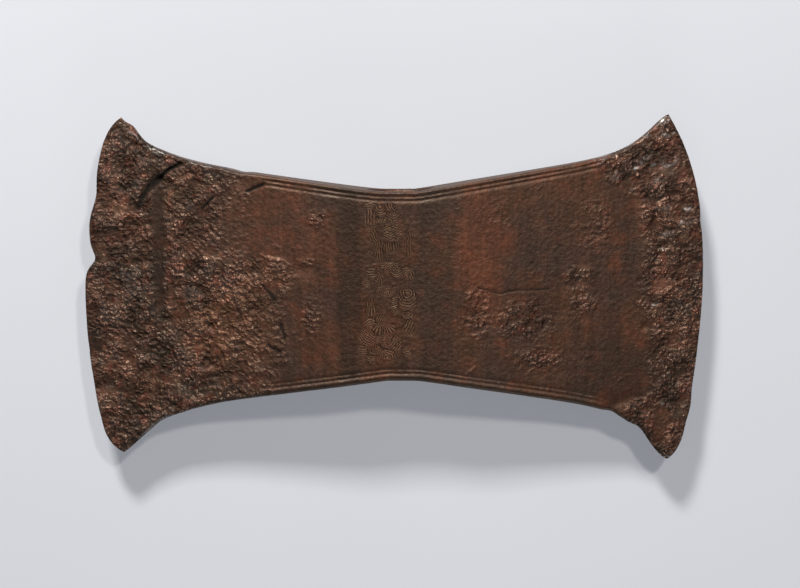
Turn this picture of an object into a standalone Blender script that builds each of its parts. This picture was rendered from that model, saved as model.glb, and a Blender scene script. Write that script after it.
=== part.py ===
"""Bronze double axe head, one casting, lying on its back face.

+X runs from the left cutting edge to the right one, +Y up the haft hole, +Z out of the
face that shows. The origin is under the middle of the casting, on the plane it lies on.
All sizes are in metres.
"""
import math

import bmesh
import bpy
import numpy as np
from mathutils import Vector

# Driving dimensions of the whole casting.
LENGTH = 0.2500
HORN_HEIGHT = 0.0700
WAIST_UP = 0.0395
WAIST_DOWN = 0.0360
THICKNESS = 0.0310

# Section along the length: a flat socket block, wedge blades, then the ground bevels.
SOCKET_X = 0.0024
FLAT_HALF = 0.0120
BLOCK_HALF = 0.0240
BLOCK_FALL = 0.0006
BEVEL_WIDTH = 0.0300
BEVEL_THICKNESS = 0.0066
EDGE_THICKNESS = 0.0018

# Haft hole and the flat land around each of its mouths.
HOLE_ALONG = 0.0270
HOLE_ACROSS = 0.0210
HOLE_SIDES = 36
MOUTH_LAND_HALF = 0.0050

# Rounded arris and the pair of grooves that runs along each narrow side. The lower arris is
# rounder, and is cut at these shares of its width.
ARRIS_UP = 0.0006
ARRIS_DOWN = 0.0020
CUTS_UP = [0.0, 1.0]
CUTS_DOWN = [0.0, 0.3, 1.0]
RIM_UP = 0.0007
RIM_DOWN = 0.0024
GROOVE_WIDTH = 0.0016
GROOVE_DEPTH = 0.0007
GROOVE_STOP_LEFT = 0.0410
GROOVE_STOP_RIGHT = 0.0090
GROOVE_FADE = 0.0080

# Flare of each narrow side, outwards from the waist: how steeply it opens, how soft its
# start is, how far and how suddenly the horn lifts. Then the horn's tip: how far it falls
# short of the full height. Soft, lift and short are shares of HORN_HEIGHT.
FLARES = {
    ("up", "right"): dict(slope=0.174, soft=0.030, lift=0.339, power=11.4, short=0.0),
    ("up", "left"): dict(slope=0.150, soft=0.109, lift=0.166, power=6.8, short=0.019),
    ("down", "right"): dict(slope=0.167, soft=0.063, lift=0.447, power=10.3, short=0.0),
    ("down", "left"): dict(slope=0.144, soft=0.007, lift=0.293, power=7.8, short=0.037),
}
HORN_BLUNTING = 24

# Sweep of each cutting edge: the height of its belly, as a share of HORN_HEIGHT. Then how
# far it has drawn back at each horn, how evenly it bends on the way, and how far back the
# tip is, where draw and back are shares of HORN_SETBACK.
HORN_SETBACK = 0.0150
BELLIES = {"right": 0.026, "left": -0.044}
SWEEPS = {
    ("up", "right"): dict(draw=0.980, bend=2.85, back=0.987),
    ("down", "right"): dict(draw=0.573, bend=1.6, back=0.880),
    ("up", "left"): dict(draw=0.700, bend=1.85, back=1.040),
    ("down", "left"): dict(draw=0.580, bend=1.85, back=0.973),
}
EDGE_BLUNTING = 18

# Worn places of the outline. Their places are shares of HORN_HEIGHT along a cutting edge, or
# of the reach along a narrow side. Then half the width as a share of CHIP_WIDTH, and the
# depth as a share of CHIP_DEPTH, where a minus stands out because what is beside it is lost.
CHIP_WIDTH = 0.0050
CHIP_DEPTH = 0.0010
EDGE_LOSSES = {
    "left": [(0.186, 1.00, 2.6), (0.160, 0.55, 1.2), (0.530, 1.20, 1.3), (0.290, 0.80, 0.5)],
    "right": [(-0.686, 0.90, -0.6), (0.386, 0.80, 0.5)],
}
SIDE_LOSSES = {
    "up": [(-0.838, 0.56, -2.1), (-0.780, 0.60, 0.2), (-0.488, 0.60, 0.5)],
    "down": [(-0.756, 0.92, 0.9), (0.708, 0.64, 1.0), (0.802, 0.72, 1.8)],
}

# Corroded blades: set back from the old surface, and lumpy. The left zone ends at a ragged
# line, given by how far in from the left bevel it crosses the middle line, and its lean.
# The right zone starts at a ragged line a little outside the start of the right bevel.
CORRODED_LEFT_IN = 0.0450
CORRODED_LEAN = -0.2000
CORRODED_RIGHT_OUT = 0.0040
CORRODED_FADE = 0.0050
CORRODED_DEPTH = 0.0004
RAGGED_DEPTH = 0.0035
RAGGED_WAVE = 0.0327
LUMP_HEIGHT = 0.0004
LUMP_SPACING = 0.0170

# Hollows of the face that shows: centre as shares of the reach and of HORN_HEIGHT, half
# length and half width as shares of HOLLOW_SIZE, turn in degrees, share of HOLLOW_DEPTH.
HOLLOW_SIZE = 0.0080
HOLLOW_DEPTH = 0.0010
HOLLOWS = [
    ((0.864, 0.771), 0.73, 0.38, -35.0, 1.1),
    ((0.760, -0.650), 0.88, 0.33, 8.0, 0.9),
    ((0.448, -0.171), 1.25, 0.75, 10.0, 0.6),
    ((0.264, -0.114), 1.00, 1.00, 0.0, 0.5),
    ((0.480, -0.443), 1.06, 0.63, 0.0, 0.5),
    ((-0.848, 0.343), 0.63, 0.38, 60.0, 0.8),
    ((-0.896, 0.214), 0.63, 0.50, 0.0, 0.7),
    ((-0.288, 0.129), 0.75, 0.40, 0.0, 0.5),
]

# Long cracks of the face, from point to point in the same shares, cut as narrow clefts.
CRACKS = [
    [(-0.696, 0.714), (-0.760, 0.629), (-0.796, 0.571), (-0.824, 0.479)],
    [(-0.416, 0.607), (-0.468, 0.564)],
    [(-0.580, 0.529), (-0.616, 0.464)],
]
CRACK_WIDTH = 0.0016
CRACK_DEPTH = 0.0011
CRACK_STAND = 0.0010

# Incised strip on the socket block: how far it goes to the left and right of the haft
# hole's middle, its clearance from the paired grooves, its strokes and its small arcs.
STRIP_LEFT_OUT = 0.0164
STRIP_RIGHT_OUT = 0.0062
STRIP_CLEAR = 0.0035
STROKE_WIDTH = 0.0008
STROKE_DEPTH = 0.0004
STROKE_STAND = 0.0004
STROKE_END = 0.3
ARC_RADIUS = 0.0013
ARC_STEPS = 4

# Mesh spacing.
COLUMN_STEP = 0.0033
INNER_ROWS = 16
EDGE_COLUMNS = 8

MIDDLE = THICKNESS / 2
REACH = LENGTH / 2
BEVEL_X = REACH - BEVEL_WIDTH


def smooth_step(low, high, x):
    """0 below low, 1 above high, an even S between them."""
    t = np.clip((x - low) / (high - low), 0.0, 1.0)
    return t * t * (3.0 - 2.0 * t)


def bump(x, place, half):
    """A round bump of height 1 at place that has died away about two halves from it."""
    return np.exp(-((x - place) / half) ** 2)


def worn_away(place, losses, whole):
    """Depth lost at a place along an edge that is whole long, from its list of losses."""
    return sum(CHIP_DEPTH * depth * bump(place, share * whole, CHIP_WIDTH * half)
               for share, half, depth in losses)


def horn_tip(side, hand):
    """How far out and how high the tip of a horn is, both without their signs."""
    out = REACH - HORN_SETBACK * SWEEPS[side, hand]["back"]
    return out, HORN_HEIGHT * (1.0 - FLARES[side, hand]["short"])


def narrow_side(x, side):
    """Height of a narrow side above or below the middle line at x, without its sign."""
    waist = WAIST_UP if side == "up" else WAIST_DOWN
    height = np.zeros_like(x)
    for hand, sign in (("right", 1.0), ("left", -1.0)):
        flare = FLARES[side, hand]
        tip_x, tip_y = horn_tip(side, hand)
        out = np.maximum(sign * (x - SOCKET_X) - MOUTH_LAND_HALF, 0.0)
        full = tip_x - sign * SOCKET_X - MOUTH_LAND_HALF
        soft = HORN_HEIGHT * flare["soft"]
        lift = HORN_HEIGHT * flare["lift"]
        opening = flare["slope"] * (np.hypot(out, soft) - soft)
        opening_full = flare["slope"] * (math.hypot(full, soft) - soft)
        blunting = tip_y - waist - opening_full - lift
        share = np.clip(out / full, 0.0, 1.0)
        height += opening + lift * share ** flare["power"] + blunting * share ** HORN_BLUNTING
    return waist + height - worn_away(x, SIDE_LOSSES[side], REACH)


def cutting_edge(y, hand):
    """Reach of a cutting edge from the middle at height y, without its sign."""
    belly = HORN_HEIGHT * BELLIES[hand]
    drawn = np.zeros_like(y)
    for side, sign in (("up", 1.0), ("down", -1.0)):
        sweep = SWEEPS[side, hand]
        tip_x, tip_y = horn_tip(side, hand)
        draw = HORN_SETBACK * sweep["draw"]
        share = np.clip(sign * (y - belly) / (tip_y - sign * belly), 0.0, 1.0)
        drawn += draw * share ** sweep["bend"] + (REACH - tip_x - draw) * share ** EDGE_BLUNTING
    return REACH - drawn - worn_away(y, EDGE_LOSSES[hand], HORN_HEIGHT)


def corroded(x, y):
    """1 on the corroded blades, 0 on the sound face, with a soft ragged line between."""
    turns = 2.0 * math.pi * y / RAGGED_WAVE
    rag = RAGGED_DEPTH * (np.sin(turns) + 0.6 * np.sin(2.5 * turns))
    left_line = CORRODED_LEFT_IN - BEVEL_X + CORRODED_LEAN * y + rag
    right_line = BEVEL_X + CORRODED_RIGHT_OUT + rag
    left = 1.0 - smooth_step(-CORRODED_FADE, CORRODED_FADE, x - left_line)
    right = smooth_step(-CORRODED_FADE, CORRODED_FADE, x - right_line)
    return np.maximum(left, right)


def lumps(x, y):
    """Gentle lumps between -1 and 1, from three crossed waves that don't line up."""
    wave = 2.0 * math.pi / LUMP_SPACING
    first = np.sin(wave * (x + 0.31 * y) + 1.3)
    second = np.sin(wave * 1.27 * (0.42 * x - y) + 0.4)
    third = np.sin(wave * 1.61 * (0.8 * x + 0.6 * y) + 2.2)
    return (first + second + third) / 3.0


def on_face(place):
    """A place on the face from its shares of the reach and of HORN_HEIGHT."""
    return place[0] * REACH, place[1] * HORN_HEIGHT


def half_thickness(x, reach):
    """Half the casting's thickness at x, where the cutting edge is at reach."""
    away = np.abs(x - SOCKET_X)
    bevel_away = BEVEL_X - np.sign(x) * SOCKET_X
    stations = [FLAT_HALF, BLOCK_HALF]
    halves = [THICKNESS / 2, THICKNESS / 2 - BLOCK_FALL]
    block = np.interp(away, stations, halves)
    fall = (away - BLOCK_HALF) / (bevel_away - BLOCK_HALF)
    blade = halves[1] + (BEVEL_THICKNESS / 2 - halves[1]) * np.clip(fall, 0.0, 1.0)
    bevel_share = np.clip((np.abs(x) - BEVEL_X) / (reach - BEVEL_X), 0.0, 1.0)
    bevel = BEVEL_THICKNESS / 2 + (EDGE_THICKNESS - BEVEL_THICKNESS) / 2 * bevel_share
    return np.where(away < BLOCK_HALF, block, np.where(np.abs(x) < BEVEL_X, blade, bevel))


def face_sink(x, y, half):
    """How far the face that shows lies below the sound surface: corrosion and hollows."""
    rough = corroded(x, y)
    sink = rough * (CORRODED_DEPTH - LUMP_HEIGHT * lumps(x, y))
    for place, long_half, wide_half, turn, depth in HOLLOWS:
        cx, cy = on_face(place)
        angle = math.radians(turn)
        along = (x - cx) * math.cos(angle) + (y - cy) * math.sin(angle)
        across = (y - cy) * math.cos(angle) - (x - cx) * math.sin(angle)
        far = np.hypot(along / long_half, across / wide_half) / HOLLOW_SIZE
        sink = sink + HOLLOW_DEPTH * depth * np.exp(-far ** 2)
    return np.minimum(sink, 0.5 * half)


def spread(marks, step):
    """Stations that hit every mark, with even steps of about the given size between them."""
    stations = [marks[0]]
    for low, high in zip(marks, marks[1:]):
        count = max(1, round((high - low) / step))
        stations.extend(low + (high - low) * k / count for k in range(1, count + 1))
    return stations


def column_stations():
    """Columns from the left cutting edge to the right: place in x, and share of the bevel."""
    block = [-FLAT_HALF, -MOUTH_LAND_HALF, MOUTH_LAND_HALF, FLAT_HALF]
    block = [-BLOCK_HALF] + block + [BLOCK_HALF]
    marks = sorted([-BEVEL_X] + [SOCKET_X + place for place in block] + [BEVEL_X])
    body = [(x, 0.0) for x in spread(marks, COLUMN_STEP)]
    shares = [k / EDGE_COLUMNS for k in range(1, EDGE_COLUMNS + 1)]
    left = [(-BEVEL_X, share) for share in reversed(shares)]
    right = [(BEVEL_X, share) for share in shares]
    return left + body + right


def column_feet(x, share):
    """Where a column meets the two narrow sides: (x, y) below, then (x, y) above."""
    hand = "left" if x < 0 else "right"
    feet = []
    for side, sign in (("down", -1.0), ("up", 1.0)):
        tip_x = math.copysign(horn_tip(side, hand)[0], x)
        foot_x = x + share * (tip_x - x)
        feet.append((foot_x, sign * float(narrow_side(np.array(foot_x), side))))
    return feet


def groove_strength(x):
    """1 where the paired grooves run, fading to 0 at both ends."""
    left = GROOVE_STOP_LEFT - BEVEL_X
    right = BEVEL_X - GROOVE_STOP_RIGHT
    start = smooth_step(left, left + GROOVE_FADE, x)
    return start * (1.0 - smooth_step(right - GROOVE_FADE, right, x))


def border_rows(arris, cuts, rim):
    """Rows in from a narrow side: distance from it, arris drop and groove depth at each."""
    rows = [(share * arris, arris * (1.0 - math.sqrt(1.0 - (1.0 - share) ** 2)), 0.0) for share in cuts]
    rows.append((rim, 0.0, 0.0))
    for groove in range(2):
        start = rim + groove * GROOVE_WIDTH
        rows.append((start + GROOVE_WIDTH / 2, 0.0, GROOVE_DEPTH))
        rows.append((start + GROOVE_WIDTH, 0.0, 0.0))
    return rows


def face_grid(front):
    """Points of one face, as arrays of x, y and z with a row per column of the casting."""
    down = border_rows(ARRIS_DOWN, CUTS_DOWN, RIM_DOWN)
    up = border_rows(ARRIS_UP, CUTS_UP, ARRIS_UP + RIM_UP)
    columns = column_stations()
    points = np.zeros((len(columns), len(down) + INNER_ROWS + len(up), 3))
    for i, (x, share) in enumerate(columns):
        (_, low), (_, high) = column_feet(x, share)
        inner_low = low + down[-1][0]
        inner_high = high - up[-1][0]
        inner = list(np.linspace(inner_low, inner_high, INNER_ROWS + 2)[1:-1])
        y = np.array([low + row[0] for row in down] + inner + [high - row[0] for row in reversed(up)])
        drop = np.array([row[1] for row in down] + [0.0] * INNER_ROWS + [row[1] for row in reversed(up)])
        groove = np.array([row[2] for row in down] + [0.0] * INNER_ROWS + [row[2] for row in reversed(up)])
        hand = "left" if x < 0 else "right"
        tip_low = -horn_tip("down", hand)[1]
        tip_high = horn_tip("up", hand)[1]
        v = (y - low) / (high - low)
        reach = cutting_edge(tip_low + v * (tip_high - tip_low), hand)
        px = x + share * (np.copysign(reach, x) - x)
        half = half_thickness(px, reach)
        sink = np.minimum(drop, 0.5 * half) + groove * groove_strength(px)
        if front:
            sink = sink + face_sink(px, y, half)
        points[i, :, 0] = px
        points[i, :, 1] = y
        points[i, :, 2] = MIDDLE + (half - sink if front else sink - half)
    return points


def add_face(mesh, points, front):
    """Lay a grid of quads over the points, facing up for the front, down for the back."""
    columns, rows = points.shape[:2]
    corners = [[mesh.verts.new(points[i, j]) for j in range(rows)] for i in range(columns)]
    for i in range(columns - 1):
        for j in range(rows - 1):
            loop = [corners[i][j], corners[i + 1][j], corners[i + 1][j + 1], corners[i][j + 1]]
            mesh.faces.new(loop if front else loop[::-1])
    return corners


def rim_loop(corners):
    """The outer ring of a face's corners, once round."""
    lower = [column[0] for column in corners]
    right = corners[-1][1:]
    upper = [column[-1] for column in reversed(corners[:-1])]
    left = corners[0][-2:0:-1]
    return lower + right + upper + left


def casting_mesh():
    """Front and back faces joined round their rims by the narrow sides and cutting edges."""
    mesh = bmesh.new()
    front = rim_loop(add_face(mesh, face_grid(True), True))
    back = rim_loop(add_face(mesh, face_grid(False), False))
    for k in range(len(front)):
        n = (k + 1) % len(front)
        mesh.faces.new([back[k], back[n], front[n], front[k]])
    bmesh.ops.recalc_face_normals(mesh, faces=mesh.faces)
    data = bpy.data.meshes.new("axe_head")
    mesh.to_mesh(data)
    mesh.free()
    return data


def surface_z(x, y):
    """Height of the face that shows at one point."""
    hand = "left" if x < 0 else "right"
    reach = cutting_edge(np.array(y), hand)
    half = half_thickness(np.array(x), reach)
    return float(MIDDLE + half - face_sink(np.array(x), np.array(y), half))


def add_cleft(mesh, path, width, depth, stand):
    """A wedge swept along a path on the face, standing a little out of it, thin at its ends."""
    path = [Vector(p) for p in path]
    rings = []
    for k, point in enumerate(path):
        before = path[max(k - 1, 0)]
        after = path[min(k + 1, len(path) - 1)]
        along = (after - before).normalized()
        side = Vector((-along.y, along.x)) * width / 2
        fullness = STROKE_END if k in (0, len(path) - 1) else 1.0
        level = surface_z(point.x, point.y)
        left = point - side * fullness
        right = point + side * fullness
        corners = [(left.x, left.y, level + stand), (right.x, right.y, level + stand),
                   (point.x, point.y, level - depth * fullness)]
        rings.append([mesh.verts.new(corner) for corner in corners])
    for first, second in zip(rings, rings[1:]):
        for a in range(3):
            b = (a + 1) % 3
            mesh.faces.new([first[a], first[b], second[b], second[a]])
    mesh.faces.new(rings[0][::-1])
    mesh.faces.new(rings[-1])


def arc_path(centre, radius, start, end):
    """Points along an arc, angles in degrees."""
    angles = [math.radians(start + (end - start) * k / ARC_STEPS) for k in range(ARC_STEPS + 1)]
    return [(centre[0] + radius * math.cos(a), centre[1] + radius * math.sin(a)) for a in angles]


def strip_strokes():
    """The incised strip: framing lines, ticks and slants, hatching, and nested arcs.

    Places are shares of the strip, s across it from left to right and t up it, so the
    whole design follows the strip when the casting changes.
    """
    low = -WAIST_DOWN + RIM_DOWN + 2 * GROOVE_WIDTH + STRIP_CLEAR
    high = WAIST_UP - ARRIS_UP - RIM_UP - 2 * GROOVE_WIDTH - STRIP_CLEAR
    left = SOCKET_X - STRIP_LEFT_OUT
    right = SOCKET_X + STRIP_RIGHT_OUT

    def at(s, t):
        return (left + s * (right - left), low + t * (high - low))

    strokes = []
    for s in (0.02, 0.26):
        for t in (0.02, 0.36, 0.70):
            strokes.append([at(s, t), at(s, t + 0.14), at(s, t + 0.28)])
    for t in (0.88, 0.84, 0.80, 0.76):
        strokes.append([at(0.07, t), at(0.21, t + 0.028)])
    for t in (0.585, 0.555, 0.525, 0.495):
        strokes.append([at(0.07, t), at(0.21, t)])
    for t in (0.92, 0.87, 0.82, 0.77, 0.72):
        strokes.append([at(0.36, t), at(0.48, t + 0.015), at(0.64, t - 0.005)])
    for t in (0.66, 0.44):
        strokes.append([at(0.33, t), at(0.52, t), at(0.70, t)])
    for s in (0.36, 0.45, 0.54, 0.63):
        strokes.append([at(s, 0.54), at(s + 0.02, 0.62)])
    for k in range(9):
        t = 0.38 - 0.042 * k
        strokes.append([at(0.34, t), at(0.50, t + 0.012), at(0.68, t - 0.006)])
    for t in (0.54, 0.40):
        for radius in (ARC_RADIUS, 2 * ARC_RADIUS):
            strokes.append(arc_path(at(0.86, t), radius, 190.0, 350.0))
    for t in (0.22, 0.17, 0.12):
        strokes.append([at(0.78, t), at(0.93, t + 0.03)])
    strokes.append(arc_path(at(0.14, 0.30), ARC_RADIUS, 0.0, 180.0))
    return strokes


def cleft_cutter():
    """All the narrow cuts of the face in one hidden cutter."""
    mesh = bmesh.new()
    for path in strip_strokes():
        add_cleft(mesh, path, STROKE_WIDTH, STROKE_DEPTH, STROKE_STAND)
    for path in CRACKS:
        add_cleft(mesh, [on_face(place) for place in path], CRACK_WIDTH, CRACK_DEPTH, CRACK_STAND)
    bmesh.ops.recalc_face_normals(mesh, faces=mesh.faces)
    data = bpy.data.meshes.new("face_cuts")
    mesh.to_mesh(data)
    mesh.free()
    return hidden_object("face_cuts", data)


def hole_cutter():
    """The haft hole: an oval rod through the socket block, longer than the waist is high."""
    mesh = bmesh.new()
    length = 2.0 * (WAIST_UP + WAIST_DOWN)
    bmesh.ops.create_cone(mesh, cap_ends=True, segments=HOLE_SIDES, radius1=0.5, radius2=0.5, depth=length)
    data = bpy.data.meshes.new("haft_hole")
    for vert in mesh.verts:
        vert.co = Vector((vert.co.x * HOLE_ALONG, vert.co.z, -vert.co.y * HOLE_ACROSS))
    mesh.to_mesh(data)
    mesh.free()
    cutter = hidden_object("haft_hole", data)
    cutter.location = (SOCKET_X, 0.0, MIDDLE)
    return cutter


def hidden_object(name, data):
    """A cutter: drawn as wire and left out of the finished part."""
    cutter = bpy.data.objects.new(name, data)
    cutter.display_type = "WIRE"
    cutter.hide_render = True
    bpy.context.scene.collection.objects.link(cutter)
    return cutter


def bronze():
    """Dark brown bronze, dull and a little metallic."""
    material = bpy.data.materials.new("bronze")
    material.use_nodes = True
    shader = material.node_tree.nodes["Principled BSDF"]
    shader.inputs["Base Color"].default_value = (0.082, 0.044, 0.030, 1.0)
    shader.inputs["Metallic"].default_value = 0.6
    shader.inputs["Roughness"].default_value = 0.5
    return material


def cut(casting, cutter):
    """Take a cutter's shape out of the casting."""
    step = casting.modifiers.new(cutter.name, "BOOLEAN")
    step.operation = "DIFFERENCE"
    step.solver = "EXACT"
    step.object = cutter


def main():
    for old in list(bpy.data.objects):
        bpy.data.objects.remove(old)
    casting = bpy.data.objects.new("axe_head", casting_mesh())
    bpy.context.scene.collection.objects.link(casting)
    casting.data.materials.append(bronze())
    cut(casting, hole_cutter())
    cut(casting, cleft_cutter())


main()
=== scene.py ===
"""Looks of the bronze double axe head: one fine casting in place of the solid, its patina, and a plain stage.

The frame is the solid's own: +X to the right cutting edge, +Y up the haft hole, +Z out of
the face that shows, metres. The casting is worked out as whole arrays: a grid for each
face, a band of rings round the rim between them and a tunnel for the haft hole. The relief
is then pressed in along the surface's own normals, so nothing stands outside the solid's box.
"""
import math

import bpy
import numpy as np
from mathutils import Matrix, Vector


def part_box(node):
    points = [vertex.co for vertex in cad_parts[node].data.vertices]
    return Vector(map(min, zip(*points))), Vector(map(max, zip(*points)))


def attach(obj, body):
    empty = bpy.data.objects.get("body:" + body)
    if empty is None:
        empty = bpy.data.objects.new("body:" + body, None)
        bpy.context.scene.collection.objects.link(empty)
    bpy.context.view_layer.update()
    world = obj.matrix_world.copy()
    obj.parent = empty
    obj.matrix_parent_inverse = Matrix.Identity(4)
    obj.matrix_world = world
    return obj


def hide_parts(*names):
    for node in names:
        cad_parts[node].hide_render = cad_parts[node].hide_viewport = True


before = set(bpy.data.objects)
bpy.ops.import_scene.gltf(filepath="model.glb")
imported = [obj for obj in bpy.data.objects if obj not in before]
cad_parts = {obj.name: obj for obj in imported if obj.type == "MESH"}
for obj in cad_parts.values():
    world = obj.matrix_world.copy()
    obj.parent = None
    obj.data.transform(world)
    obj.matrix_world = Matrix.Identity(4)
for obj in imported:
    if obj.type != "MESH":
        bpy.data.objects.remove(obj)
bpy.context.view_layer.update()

# The casting's size, from the solid's box.
LOW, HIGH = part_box("axe_head")
REACH = HIGH[0]
HORN_HEIGHT = HIGH[1]
THICKNESS = HIGH[2]
MIDDLE = THICKNESS / 2

# Sections, haft hole and rim, as on the solid.
WAIST = {"up": 0.0395, "down": 0.0360}
SOCKET_X = 0.0024
FLAT_HALF = 0.0120
BLOCK_HALF = 0.0240
BLOCK_FALL = 0.0006
BEVEL_X = REACH - 0.0300
BEVEL_THICKNESS = 0.0066
EDGE_THICKNESS = 0.0018
HOLE_ALONG = 0.0270
HOLE_ACROSS = 0.0210
MOUTH_LAND_HALF = 0.0050
LIP = 0.0005

# Flare of each narrow side and sweep of each cutting edge, as on the solid.
FLARES = {
    ("up", "right"): dict(slope=0.174, soft=0.030, lift=0.339, power=11.4, short=0.0),
    ("up", "left"): dict(slope=0.150, soft=0.109, lift=0.166, power=6.8, short=0.019),
    ("down", "right"): dict(slope=0.167, soft=0.063, lift=0.447, power=10.3, short=0.0),
    ("down", "left"): dict(slope=0.144, soft=0.007, lift=0.293, power=7.8, short=0.037),
}
HORN_BLUNTING = 24
HORN_SETBACK = 0.0150
BELLIES = {"right": 0.026, "left": -0.044}
SWEEPS = {
    ("up", "right"): dict(draw=0.980, bend=2.85, back=0.987),
    ("down", "right"): dict(draw=0.573, bend=1.6, back=0.880),
    ("up", "left"): dict(draw=0.700, bend=1.85, back=1.040),
    ("down", "left"): dict(draw=0.580, bend=1.85, back=0.973),
}
EDGE_BLUNTING = 18

# Worn places of the outline: where, half the width and the depth, in shares as on the solid.
CHIP_WIDTH = 0.0050
CHIP_DEPTH = 0.0010
EDGE_LOSSES = {
    "left": [(0.186, 1.00, 2.6), (0.160, 0.55, 1.2), (0.530, 1.20, 1.3), (0.290, 0.80, 0.5)],
    "right": [(-0.686, 0.90, -0.6), (0.386, 0.80, 0.5)],
}
SIDE_LOSSES = {
    "up": [(-0.838, 0.56, -2.1), (-0.780, 0.60, 0.2), (-0.488, 0.60, 0.5)],
    "down": [(-0.756, 0.92, 0.9), (0.708, 0.64, 1.0), (0.802, 0.72, 1.8)],
}

# Rounding of the rim: radius along the sound upper and lower sides, along the corroded blades,
# where these begin and end, and along the cutting edges, where it also narrows the edge by a
# set height. The rounding takes up to a share of the half thickness.
RIM_SOUND = {"up": 0.0007, "down": 0.0020}
RIM_WORN = 0.0018
RIM_WORN_FROM = 0.0300
RIM_WORN_TO = 0.0750
RIM_SHARE = 0.62
EDGE_ROUND = 0.0009
EDGE_DROP = 0.0006

# The paired grooves: how far in from the narrow side they start, their width and depth, where
# they run, and how much of their depth is kept.
GROOVE_START = {"up": 0.0011, "down": 0.0024}
GROOVE_WIDTH = 0.0016
GROOVE_DEPTH = 0.0007
GROOVE_LEFT = -0.0540
GROOVE_RIGHT = 0.0860
GROOVE_FADE = 0.0080
GROOVE_KEPT = 0.72
GROOVE_LEAST = 0.30
GROOVE_WEAR_SPACING = 0.0130

# Mesh: marks along the casting that columns hit, with the spacing between them, the rows, the
# rings of the rim band, and the most of the rim's thickness that the mouths' rings take.
BODY_MARKS = [-BEVEL_X, -0.0400, -0.0145, SOCKET_X - HOLE_ALONG / 2 - LIP, 0.0089,
              SOCKET_X + HOLE_ALONG / 2 + LIP, 0.0450, 0.0700, BEVEL_X]
BODY_STEPS = [0.00072, 0.0009, 0.0005, 0.00044, 0.00065, 0.0009, 0.0008, 0.00075]
BEVEL_COLUMNS = 44
BEVEL_CROWDING = 1.25
BORDER_DEPTH = 0.0060
BORDER_ROWS = 16
INNER_ROWS = 144
LIP_RINGS = 3
MOUTH_RINGS = 10
TUNNEL_RINGS = 26
MOUTH_SHARE = 0.78

# The ragged line where the old surface is lost, from the left and from the right, as places
# (y, x) up the face, how far it wanders, over what width the surface gives way, and how far in
# the corrosion takes to reach its full vigour.
LOSS_LEFT = [(-0.060, -0.048), (-0.037, -0.0475), (-0.031, -0.0420), (-0.024, -0.0436), (-0.012, -0.0415),
             (0.000, -0.0405), (0.010, -0.0374), (0.0125, -0.0440), (0.016, -0.0593), (0.028, -0.0573),
             (0.036, -0.0573), (0.042, -0.0555), (0.060, -0.0540)]
LOSS_RIGHT = [(-0.060, 0.0900), (-0.047, 0.0930), (-0.042, 0.1035), (-0.014, 0.1020), (-0.010, 0.0990),
              (0.034, 0.0985), (0.040, 0.0900), (0.050, 0.0800), (0.060, 0.0800)]
LOSS_WANDER = 0.0030
LOSS_BLEND = (-0.0022, 0.0036)
RISE_FROM = -0.0020
RISE_LEFT = 0.0330
RISE_RIGHT = 0.0080
LEAST_VIGOUR = 0.20


def smooth_step(low, high, x):
    """0 below low, 1 above high, an even S between them."""
    t = np.clip((x - low) / (high - low), 0.0, 1.0)
    return t * t * (3.0 - 2.0 * t)


def bump(x, place, half):
    """A round bump of height 1 at place that has died away about two halves from it."""
    return np.exp(-((x - place) / half) ** 2)


def scatter(cell, seed):
    """A fixed random number from 0 to 1 for each whole-number cell, its bits mixed by multiply and shift."""
    mixed = cell.astype(np.int64).astype(np.uint32)
    code = mixed[..., 0] * np.uint32(0x8DA6B343)
    code ^= mixed[..., 1] * np.uint32(0xD8163841)
    code ^= mixed[..., 2] * np.uint32(0xCB1AB31F)
    code ^= np.uint32(seed * 7919 + 1)
    for shift, factor in ((15, 0x2C1B3C6D), (12, 0x297A2D39), (15, 1)):
        code ^= code >> np.uint32(shift)
        code *= np.uint32(factor)
    return code / 2.0 ** 32


def swell(points, spacing, seed):
    """Soft random waves from -1 to 1: random slopes at a lattice's corners, blended inside each cell."""
    place = points / spacing + seed * 0.37
    cell = np.floor(place)
    inside = place - cell
    ease = inside ** 3 * (inside * (inside * 6.0 - 15.0) + 10.0)
    total = np.zeros(len(points))
    for corner in np.ndindex(2, 2, 2):
        at = cell + corner
        slope = sum((scatter(at, seed + 31 * axis) - 0.5) * (inside[:, axis] - corner[axis])
                    for axis in range(3))
        share = np.prod(np.where(np.array(corner) == 1, ease, 1.0 - ease), axis=1)
        total += share * slope
    return np.clip(total * 2.6, -1.0, 1.0)


def layered(points, spacing, layers, seed, keep=0.5):
    """Soft waves at several spacings, each about half the last and weaker by keep, from about -1 to 1."""
    total = np.zeros(len(points))
    weight = 1.0
    whole = 0.0
    for layer in range(layers):
        total += weight * swell(points, spacing / 1.93 ** layer, seed + 5 * layer)
        whole += weight
        weight *= keep
    return total / whole


def wrinkles(points, spacing, layers, seed):
    """Sharp wandering crests, 1 on the crests and 0 in the hollows.

    Soft waves are folded at zero. Each layer is finer than the last, and stands only where the
    one before it is high.
    """
    total = np.zeros(len(points))
    share = 1.0
    whole = 0.0
    standing = 1.0
    for layer in range(layers):
        folded = np.abs(swell(points, spacing / 2.03 ** layer, seed + 5 * layer))
        crest = np.clip(1.0 - 1.8 * folded, 0.0, 1.0) ** 2
        total += share * standing * crest
        whole += share
        standing = np.clip(0.25 + 1.5 * crest, 0.0, 1.0)
        share *= 0.55
    return total / whole


def grains(points, spacing, seed):
    """Distance to the nearest of scattered grains, in spacings, and that grain's own number."""
    place = points / spacing
    cell = np.floor(place)
    first = np.full(len(points), 9.0)
    number = np.zeros(len(points))
    for offset in np.ndindex(3, 3, 3):
        at = cell + np.array(offset) - 1.0
        centre = at + np.stack([scatter(at, seed + 3 * axis) for axis in range(3)], axis=1)
        far = np.linalg.norm(place - centre, axis=1)
        number = np.where(far < first, scatter(at, seed + 17), number)
        first = np.minimum(far, first)
    return first, number


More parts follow.
